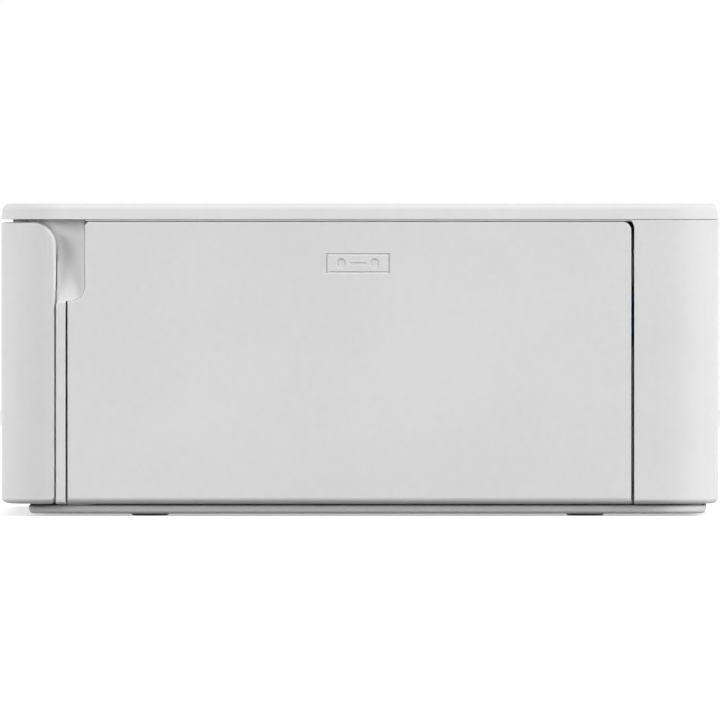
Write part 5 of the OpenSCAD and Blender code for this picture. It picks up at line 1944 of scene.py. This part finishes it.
@dataclass
class TopPanel(Assembly):
    """Top cover with the display and the keys."""

    ROUND_KEYS = ("power_button", "menu_button", "edit_button", "print_button")
    DIRECTION_KEYS = ("key_right", "key_up", "key_left", "key_down")

    # Cover.
    thick: float = 2.9
    round_off: float = 1.2
    lower_round: float = 0.02
    draft: float = 0.35
    steps: int = 72
    part_round: float = 0.15
    # The tongue in the seam under the cover.
    lip: Spot = (88.1, 90.8, 0.35)
    lip_ends: Point = (-50.9, 50.3)
    lip_up: float = 0.2
    # Display.
    glass_deep: float = 0.9
    glass_r: float = 3.0
    glass_gap: float = 0.1
    glass_edge: float = 0.18
    module_gap: float = 0.3
    # Keys.
    flange: float = 1.0
    gap: float = 0.25
    key_sink: float = 0.1
    key_round: float = 0.45
    cap_below: float = 0.1
    stem_root: float = 0.3
    stem_round: float = 0.12
    direction_round: float = 0.35
    arrow_half: Point = (0.9, 1.3)
    # Ring and arms between the keys.
    spider: float = 1.2
    spider_down: float = 0.4
    spider_round: float = 0.2
    spider_root: float = 0.5
    # Signs on the keys.
    mark_deep: float = 0.12
    mark_line: float = 0.5
    sign_half: Point = (1.8, 1.3)
    power_r: float = 1.7
    power_bar: Point = (1.5, 1.1)
    menu_pitch: float = 1.2
    ok_r: float = 2.2

    def disc_of(self, node: str) -> tuple[Point, float]:
        """Middle and cap radius of a round key."""
        (x0, y0), (x1, y1) = footprint(node)
        return ((x0 + x1) / 2, (y0 + y1) / 2), (x1 - x0) / 2 - self.flange

    def hole(self, outline: Outline, deep: float, flare: float = 0.15) -> bpy.types.Object:
        """Cutter from above with a bevelled mouth."""
        return plate_in(loft("hole", outline, mouth(deep, flare)), Axis.Z, self.casing.top)

    def around(self, node: str, gap: float, r: float = 0.0, steps: int = 10) -> Outline:
        """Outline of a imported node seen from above, larger by a gap on each side."""
        (x0, y0), (x1, y1) = footprint(node)
        return Outline.box((x0 - gap, y0 - gap), (x1 + gap, y1 + gap), r, steps)

    def cover(self) -> None:
        """The cover with its openings."""
        case = self.casing
        half = (case.half_x, case.half_y)
        outline = Outline.box((-half[0], -half[1]), half, case.corner, 24)
        rings = [
            Ring(ring.inset + self.draft * (1 - ring.depth / self.thick), ring.depth)
            for ring in fillet_rings(self.round_off, self.thick, self.lower_round, 8)
        ]
        plate = plate_in(loft("cover", outline, rings), Axis.Z, case.top)
        through = self.thick + BEYOND
        tools = [
            self.hole(self.around("lcd_glass", self.glass_gap, self.glass_r), self.glass_deep),
            self.hole(self.around("lcd_module", self.module_gap), through),
        ]
        for node in self.ROUND_KEYS:
            spot, r = self.disc_of(node)
            tools.append(self.hole(Outline.disc(spot, r + self.gap, self.steps), through))
        spot, r = self.ring()
        tools.append(self.hole(Outline.disc(spot, r + self.gap, 96), through))
        cut(plate, tools)
        level = case.cover_low - OFF_FACE
        under = between(self.shop.copy_of("top_cover"), HALFWAY, level)
        rooted(under, Axis.Z, level, ROOT)
        inner, outer, down = self.lip
        low = (inner, self.lip_ends[0], case.cover_low - down)
        high = (outer, self.lip_ends[1], case.cover_low + self.lip_up)
        parts = [smooth(plate), softened(under, self.part_round), self.spider_part()]
        parts.append(block("lip", low, high, 0.0))
        self.shop.fit(joined("top_cover_dressed", parts), Slot.SHELL, "top_cover")

    def ring(self) -> tuple[Point, float]:
        """Middle and radius of the ring of direction keys."""
        spot, _ = self.disc_of("ok_button")
        return spot, span("key_right", Axis.X)[1] - spot[0]

    def spider_part(self) -> bpy.types.Object:
        """Ring and arms between the keys.

        Returns:
            The part.
        """
        spot, r = self.ring()
        inner = self.disc_of("ok_button")[1] + self.gap
        top = self.casing.top - self.spider_down
        height = self.thick - self.spider_down
        rings = fillet_rings(self.spider_round, height)
        disc = Outline.disc(spot, inner + self.spider, self.steps)
        hub = plate_in(loft("hub", disc, rings), Axis.Z, top)
        reach, half = r + self.gap + self.spider_root, self.spider / 2
        arms = []
        for degrees in (45, 135):
            low, high = (-reach, -half, top - height), (reach, half, top)
            arms.append(turned(block("arm", low, high, self.spider_round), spot, degrees))
        cut(hub, arms, "UNION")
        rings = [Ring(0, -BEYOND), Ring(0, 5 * BEYOND)]
        cut(hub, [plate_in(loft("bore", Outline.disc(spot, inner, self.steps), rings), Axis.Z, top)])
        return smooth(hub)

    def mark(self, outline: Outline) -> bpy.types.Object:
        """Cutter for a sunk mark on a key."""
        rings = [Ring(-0.1, -0.2), Ring(0.0, 0.0), Ring(0.05, self.mark_deep)]
        return plate_in(loft("mark", outline, rings), Axis.Z, self.casing.top - self.key_sink)

    def ring_mark(self, spot: Point, r: float) -> bpy.types.Object:
        """Cutter for a sunk ring.

        Args:
            spot: its middle.
            r: its outer radius.

        Returns:
            The cutter.
        """
        tool = self.mark(Outline.disc(spot, r, 40))
        core = loft("core", Outline.disc(spot, r - self.mark_line, 40), [Ring(0, -2), Ring(0, 2)])
        return cut(tool, [plate_in(core, Axis.Z, self.casing.top - self.key_sink)])

    def bar(self, spot: Point, half: Point) -> bpy.types.Object:
        """Cutter for a sunk bar."""
        (x, y), (u, v) = spot, half
        return self.mark(Outline.box((x - u, y - v), (x + u, y + v), min(u, v) * 0.9, 4))

    def marks(self, node: str, spot: Point) -> list[bpy.types.Object]:
        """Cutters for the common sign on a round key.

        Args:
            node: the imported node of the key.
            spot: the middle of the key.

        Returns:
            The cutters.
        """
        x, y = spot
        line = self.mark_line / 2
        wide, high = self.sign_half
        if node == "power_button":
            up, half = self.power_bar
            return [self.ring_mark(spot, self.power_r), self.bar((x, y + up), (line, half))]
        if node == "menu_button":
            pitch = self.menu_pitch
            return [self.bar((x, y + up), (self.power_r, line)) for up in (-pitch, 0.0, pitch)]
        if node == "edit_button":
            return [self.bar(spot, half) for half in ((line, wide), (wide, line))]
        if node == "print_button":
            ends = [self.bar((x, y + side * high), (wide, line)) for side in (-1, 1)]
            return ends + [self.bar((x + side * wide, y), (line, high + line)) for side in (-1, 1)]
        return [self.ring_mark(spot, self.ok_r)]

    def round_key(self, node: str) -> None:
        """A round key with its cap, flange and stem.

        Args:
            node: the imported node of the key.
        """
        spot, r = self.disc_of(node)
        case = self.casing
        low = case.cover_low - self.cap_below
        top = case.top - self.key_sink
        rings = fillet_rings(self.key_round, top - low)
        cap = plate_in(loft("cap", Outline.disc(spot, r, self.steps), rings), Axis.Z, top)
        cut(cap, self.marks(node, spot))
        rest = between(self.shop.copy_of(node), HALFWAY, low)
        rooted(rest, Axis.Z, low, self.stem_root)
        parts = [smooth(cap), softened(rest, self.stem_round)]
        self.shop.fit(joined(f"{node}_dressed", parts), Slot.KEYS, node)

    def direction_key(self, node: str, degrees: int) -> None:
        """A quarter of the ring, with its arrow.

        Args:
            node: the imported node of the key.
            degrees: its turn from the right-hand key.
        """
        spot, r = self.ring()
        body = softened(self.shop.copy_of(node), self.direction_round, 4)
        reach = (self.disc_of("ok_button")[1] + self.spider + 2 * self.gap + r) / 2 + 0.4
        u, v = self.arrow_half
        arrow = Outline([Corner(reach - u, -v), Corner(reach + u, 0.0), Corner(reach - u, v)])
        tool = turned(self.mark(arrow), spot, degrees)
        self.shop.fit(smooth(cut(body, [tool])), Slot.KEYS, node)

    def build(self) -> None:
        """Make the cover, the window, the display and every key."""
        case = self.casing
        self.cover()
        outline = self.around("lcd_glass", 0.0, self.glass_r - self.glass_gap, 12)
        rings = fillet_rings(self.glass_edge, self.glass_deep)
        glass = plate_in(loft("lcd_glass_dressed", outline, rings), Axis.Z, case.top)
        self.shop.fit(smooth(glass), Slot.GLASS, "lcd_glass")
        self.shop.dress("lcd_module", Slot.BLACK, 0.2)
        for node in (*self.ROUND_KEYS, "ok_button"):
            self.round_key(node)
        for quarter, node in enumerate(self.DIRECTION_KEYS):
            self.direction_key(node, 90 * quarter)


def pieces(**parts: tuple[Slot, float]) -> dict[str, tuple[Slot, float]]:
    """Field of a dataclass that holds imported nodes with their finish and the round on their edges."""
    return field(default_factory=lambda: dict(parts))


@dataclass
class Group(Assembly):
    """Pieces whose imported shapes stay, with rounded edges and their finishes."""

    parts: dict[str, tuple[Slot, float]] = pieces()

    def build(self) -> None:
        """Dress every piece of the group."""
        for node, (slot, round_mm) in self.parts.items():
            self.shop.dress(node, slot, round_mm)


@dataclass
class PaperPath(Group):
    """Flap, paper bay, guide and rollers."""

    parts: dict[str, tuple[Slot, float]] = pieces(
        inner_flap=(Slot.FRAME, 0.25),
        flap_rod=(Slot.BRIGHT, 0.15),
        flap_spring=(Slot.BRIGHT, 0.05),
        paper_bay=(Slot.FRAME, 0.25),
        rear_guide=(Slot.FRAME, 0.15),
        roller_bushes=(Slot.BRASS, 0.12),
        platen_roller=(Slot.ROLLER, 0.15),
        grip_roller=(Slot.BRIGHT, 0.15),
        pinch_roller=(Slot.ROLLER, 0.1),
        pickup_arm=(Slot.FRAME, 0.2),
        pickup_roller=(Slot.ROLLER, 0.2),
    )


@dataclass
class DriveTrain(Group):
    """Motor and gears on the left plate."""

    parts: dict[str, tuple[Slot, float]] = pieces(
        platen_gear=(Slot.ACETAL, 0.1),
        grip_gear=(Slot.ACETAL, 0.1),
        idler_gear=(Slot.ACETAL, 0.1),
        idler_stud=(Slot.BRIGHT, 0.1),
        motor_pinion=(Slot.BRASS, 0.08),
        motor_bracket=(Slot.SHEET, 0.15),
        feed_motor=(Slot.BRIGHT, 0.3),
    )


@dataclass
class PrintHead(Group):
    """Arm, heat sink and heating bar."""

    parts: dict[str, tuple[Slot, float]] = pieces(
        head_arm=(Slot.SHEET, 0.2),
        heat_sink=(Slot.ALUMINIUM, 0.2),
        thermal_head=(Slot.CERAMIC, 0.15),
    )


@dataclass
class InkCassette(Group):
    """Ink cassette, its film, its drive hub and its lever."""

    parts: dict[str, tuple[Slot, float]] = pieces(
        cassette_frame=(Slot.CASSETTE, 0.25),
        supply_spool=(Slot.RIBBON, 0.1),
        take_up_spool=(Slot.GOLD, 0.1),
        ribbon_film=(Slot.GOLD, 0.0),
        take_up_hub=(Slot.ACETAL, 0.15),
        cassette_lever=(Slot.CASSETTE, 0.25),
    )


@dataclass
class Chassis(Group):
    """Side plates, stays and pivot rods."""

    parts: dict[str, tuple[Slot, float]] = pieces(
        left_plate=(Slot.SHEET, 0.12),
        right_plate=(Slot.SHEET, 0.12),
        cross_stays=(Slot.BRIGHT, 0.15),
        pivot_rods=(Slot.BRIGHT, 0.15),
    )


@dataclass
class Electronics(Group):
    """Boards, sockets and fan."""

    parts: dict[str, tuple[Slot, float]] = pieces(
        main_board=(Slot.BOARD, 0.08),
        button_board=(Slot.BOARD, 0.08),
        dc_inlet=(Slot.BLACK, 0.2),
        card_slot=(Slot.BRIGHT, 0.12),
        usb_port=(Slot.BRIGHT, 0.12),
        fan_frame=(Slot.BLACK, 0.2),
        fan_rotor=(Slot.BLACK, 0.12),
    )


# ---------------------------------------------------------------- studio


@dataclass(frozen=True)
class Lamp:
    """A soft rectangular lamp that glossy surfaces don't mirror; places in metres."""

    name: str
    place: Spot
    aim: Spot
    size: Point
    power: float

    def light(self) -> None:
        """Hang the lamp."""
        data = bpy.data.lights.new(self.name, "AREA")
        data.shape = "RECTANGLE"
        data.size, data.size_y = self.size
        data.energy = self.power
        made = bpy.data.objects.new(self.name, data)
        bpy.context.scene.collection.objects.link(made)
        made.location = self.place
        made.visible_glossy = False
        away = Vector(self.aim) - Vector(self.place)
        made.rotation_euler = away.to_track_quat("-Z", "Y").to_euler()


@dataclass
class Studio:
    """Pale floor, backdrop, soft lamps and a long lens square to the right side."""

    casing: Casing
    frame_width: float = 0.1332
    aim_level: float = 0.02895
    eye_level: float = 0.0547
    distance: float = 4.8
    sensor_width: float = 36.0
    white: float = 1.0
    floor_half: float = 2.6
    floor_colour: Colour = (0.90, 0.90, 0.90)
    bounce_colour: Colour = (0.14, 0.14, 0.14)
    glow_colour: Colour = (0.5, 0.5, 0.5)
    world_level: float = 0.3
    lamps: tuple[Lamp, ...] = (
        Lamp("key", (0.85, 1.6, 0.62), (0.0, 0.0, 0.02), (0.7, 0.7), 29.2),
        Lamp("fill", (0.7, -1.6, 0.66), (0.0, 0.0, 0.02), (0.7, 0.7), 21.5),
        Lamp("front", (3.0, 0.0, 0.8), (0.0, 0.0, 0.02), (2.4, 1.3), 14.6),
        Lamp("above", (0.35, 0.1, 1.8), (0.0, 0.0, 0.02), (0.9, 1.2), 4.5),
        Lamp("rim", (-1.7, 0.3, 0.7), (0.0, 0.0, 0.05), (1.0, 1.0), 15.0),
    )

    def pale(self, name: str) -> bpy.types.Material:
        """Floor material: pale where it is seen, darker where it only throws light back.

        Args:
            name: the material's name.

        Returns:
            The material.
        """
        shade = Shade(name)
        path = shade.node("ShaderNodeLightPath")
        seen = Value(shade, path.outputs["Is Camera Ray"])
        for output in ("Is Glossy Ray", "Is Transmission Ray"):
            seen = seen.math("MAXIMUM", Value(shade, path.outputs[output]))
        shade.set(
            Base_Color=shade.blend(seen, self.bounce_colour, self.floor_colour),
            Roughness=0.9,
            Specular_IOR_Level=0.1,
            Emission_Color=shade.blend(seen, (0.0, 0.0, 0.0), self.glow_colour),
            Emission_Strength=1.0,
        )
        return shade.material

    def sheet(self, name: str, corners: Sequence[Spot], material: bpy.types.Material) -> None:
        """A flat part of the studio.

        Args:
            name: the part's name.
            corners: its corners, in metres.
            material: its finish.
        """
        mesh = bpy.data.meshes.new(name)
        mesh.from_pydata(corners, [], [tuple(range(len(corners)))])
        made = link(name, mesh)
        mesh.materials.append(material)

    def floor(self) -> None:
        """Lay the floor."""
        signs = ((-1, -1), (1, -1), (1, 1), (-1, 1))
        corners = [(x * self.floor_half, y * self.floor_half, 0) for x, y in signs]
        self.sheet("floor", corners, self.pale("floor"))

    def sky(self) -> None:
        """Light the world, white wherever it is seen, mirrored or seen through a clear part."""
        world = bpy.data.worlds.new("studio")
        bpy.context.scene.world = world
        world.use_nodes = True
        tree = world.node_tree
        dim = tree.nodes["Background"]
        path = tree.nodes.new("ShaderNodeLightPath")
        seen = path.outputs["Is Camera Ray"]
        for output in ("Is Glossy Ray", "Is Transmission Ray"):
            either = tree.nodes.new("ShaderNodeMath")
            either.operation = "MAXIMUM"
            tree.links.new(seen, either.inputs[0])
            tree.links.new(path.outputs[output], either.inputs[1])
            seen = either.outputs[0]
        white = tree.nodes.new("ShaderNodeBackground")
        for node, strength in ((dim, self.world_level), (white, self.white)):
            node.inputs["Color"].default_value = (1.0, 1.0, 1.0, 1.0)
            node.inputs["Strength"].default_value = strength
        mix = tree.nodes.new("ShaderNodeMixShader")
        for socket, output in enumerate((seen, dim.outputs[0], white.outputs[0])):
            tree.links.new(output, mix.inputs[socket])
        tree.links.new(mix.outputs[0], tree.nodes["World Output"].inputs["Surface"])

    def camera(self) -> None:
        """Set the camera up, aimed at the right side of the printer."""
        data = bpy.data.cameras.new("camera")
        data.sensor_width = self.sensor_width
        data.lens = data.sensor_width * self.distance / self.frame_width
        made = bpy.data.objects.new("camera", data)
        scene = bpy.context.scene
        scene.collection.objects.link(made)
        made.location = (self.casing.half_x * MM + self.distance, 0.0, self.eye_level)
        tilt = math.atan((self.eye_level - self.aim_level) / self.distance)
        made.rotation_euler = (math.pi / 2 - tilt, 0.0, math.pi / 2)
        scene.camera = made

    def build(self) -> None:
        """Lay the floor, light the world, hang the lamps and set the camera up."""
        bpy.context.scene.view_settings.view_transform = "Standard"
        self.floor()
        self.sky()
        for lamp in self.lamps:
            lamp.light()
        self.camera()


def finishes() -> dict[Slot, object]:
    """The finish of every material slot.

    Returns:
        Slot to finish.
    """
    border = 9
    (x0, y0), (x1, y1) = footprint("lcd_glass")
    centre = ((x0 + x1) / 2 * MM, (y0 + y1) / 2 * MM)
    view = ((x1 - x0 - border) * MM, (y1 - y0 - border) * MM)
    return {
        Slot.SHELL: MouldedPlastic("white_case_plastic", (0.69, 0.69, 0.69), 0.36),
        Slot.BASE: MouldedPlastic("grey_base_plastic", (0.68, 0.68, 0.68), 0.45),
        Slot.FOOT: SoftRubber("foot_rubber_grey", (0.6, 0.6, 0.6)),
        Slot.GLASS: DisplayWindow("display_window", (0.008, 0.008, 0.009), centre, view),
        Slot.KEYS: MouldedPlastic("key_plastic", (0.42, 0.42, 0.42), 0.4, 0.2, 0.006),
        Slot.SHEET: SheetMetal("zinc_plated_sheet", (0.4, 0.405, 0.4), 0.38, Axis.Y, 0.5),
        Slot.BRIGHT: SheetMetal("turned_steel", (0.7, 0.7, 0.69), 0.22, Axis.X, 0.12),
        Slot.BOARD: CircuitBoard("printed_board", (0.015, 0.11, 0.045), 1.1),
        Slot.BLACK: MouldedPlastic("black_plastic_part", (0.02, 0.02, 0.021), 0.45, 0.25, 0.01),
        Slot.FRAME: MouldedPlastic("grey_inner_plastic", (0.3, 0.3, 0.305), 0.5),
        Slot.ACETAL: MouldedPlastic("gear_acetal", (0.72, 0.7, 0.64), 0.35, 0.5, 0.004, 0.5, 0.02),
        Slot.BRASS: SheetMetal("sintered_brass", (0.7, 0.52, 0.26), 0.34, Axis.X, 0.2),
        Slot.ROLLER: SoftRubber("roller_rubber_black", (0.03, 0.03, 0.032), Axis.X),
        Slot.ALUMINIUM: SheetMetal("extruded_aluminium", (0.72, 0.73, 0.74), 0.34, Axis.X, 0.3),
        Slot.CERAMIC: MouldedPlastic("glazed_ceramic", (0.62, 0.6, 0.55), 0.16, 0.6, 0.003, 0.6, 0.02),
        Slot.CASSETTE: MouldedPlastic("blue_cassette_plastic", (0.09, 0.2, 0.42), 0.36, 0.3, 0.008),
        Slot.RIBBON: DyedFilm("dark_dye_film", (0.02, 0.02, 0.05), 1.4),
        Slot.GOLD: DyedFilm("gold_dye_film", (0.5, 0.36, 0.08), 1.4),
    }


def main() -> None:
    """Build the printer and its studio."""
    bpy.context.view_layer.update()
    shop = Workshop(finishes())
    casing = Casing()
    Studio(casing).build()
    for group in (
        MainShell,
        BaseTray,
        TopPanel,
        FrontDoor,
        FrontFrame,
        InkDoor,
        PaperPath,
        DriveTrain,
        PrintHead,
        InkCassette,
        Chassis,
        Electronics,
    ):
        log.info("building %s", group.__name__)
        group(shop, casing).build()


if __name__ == "__main__":
    main()
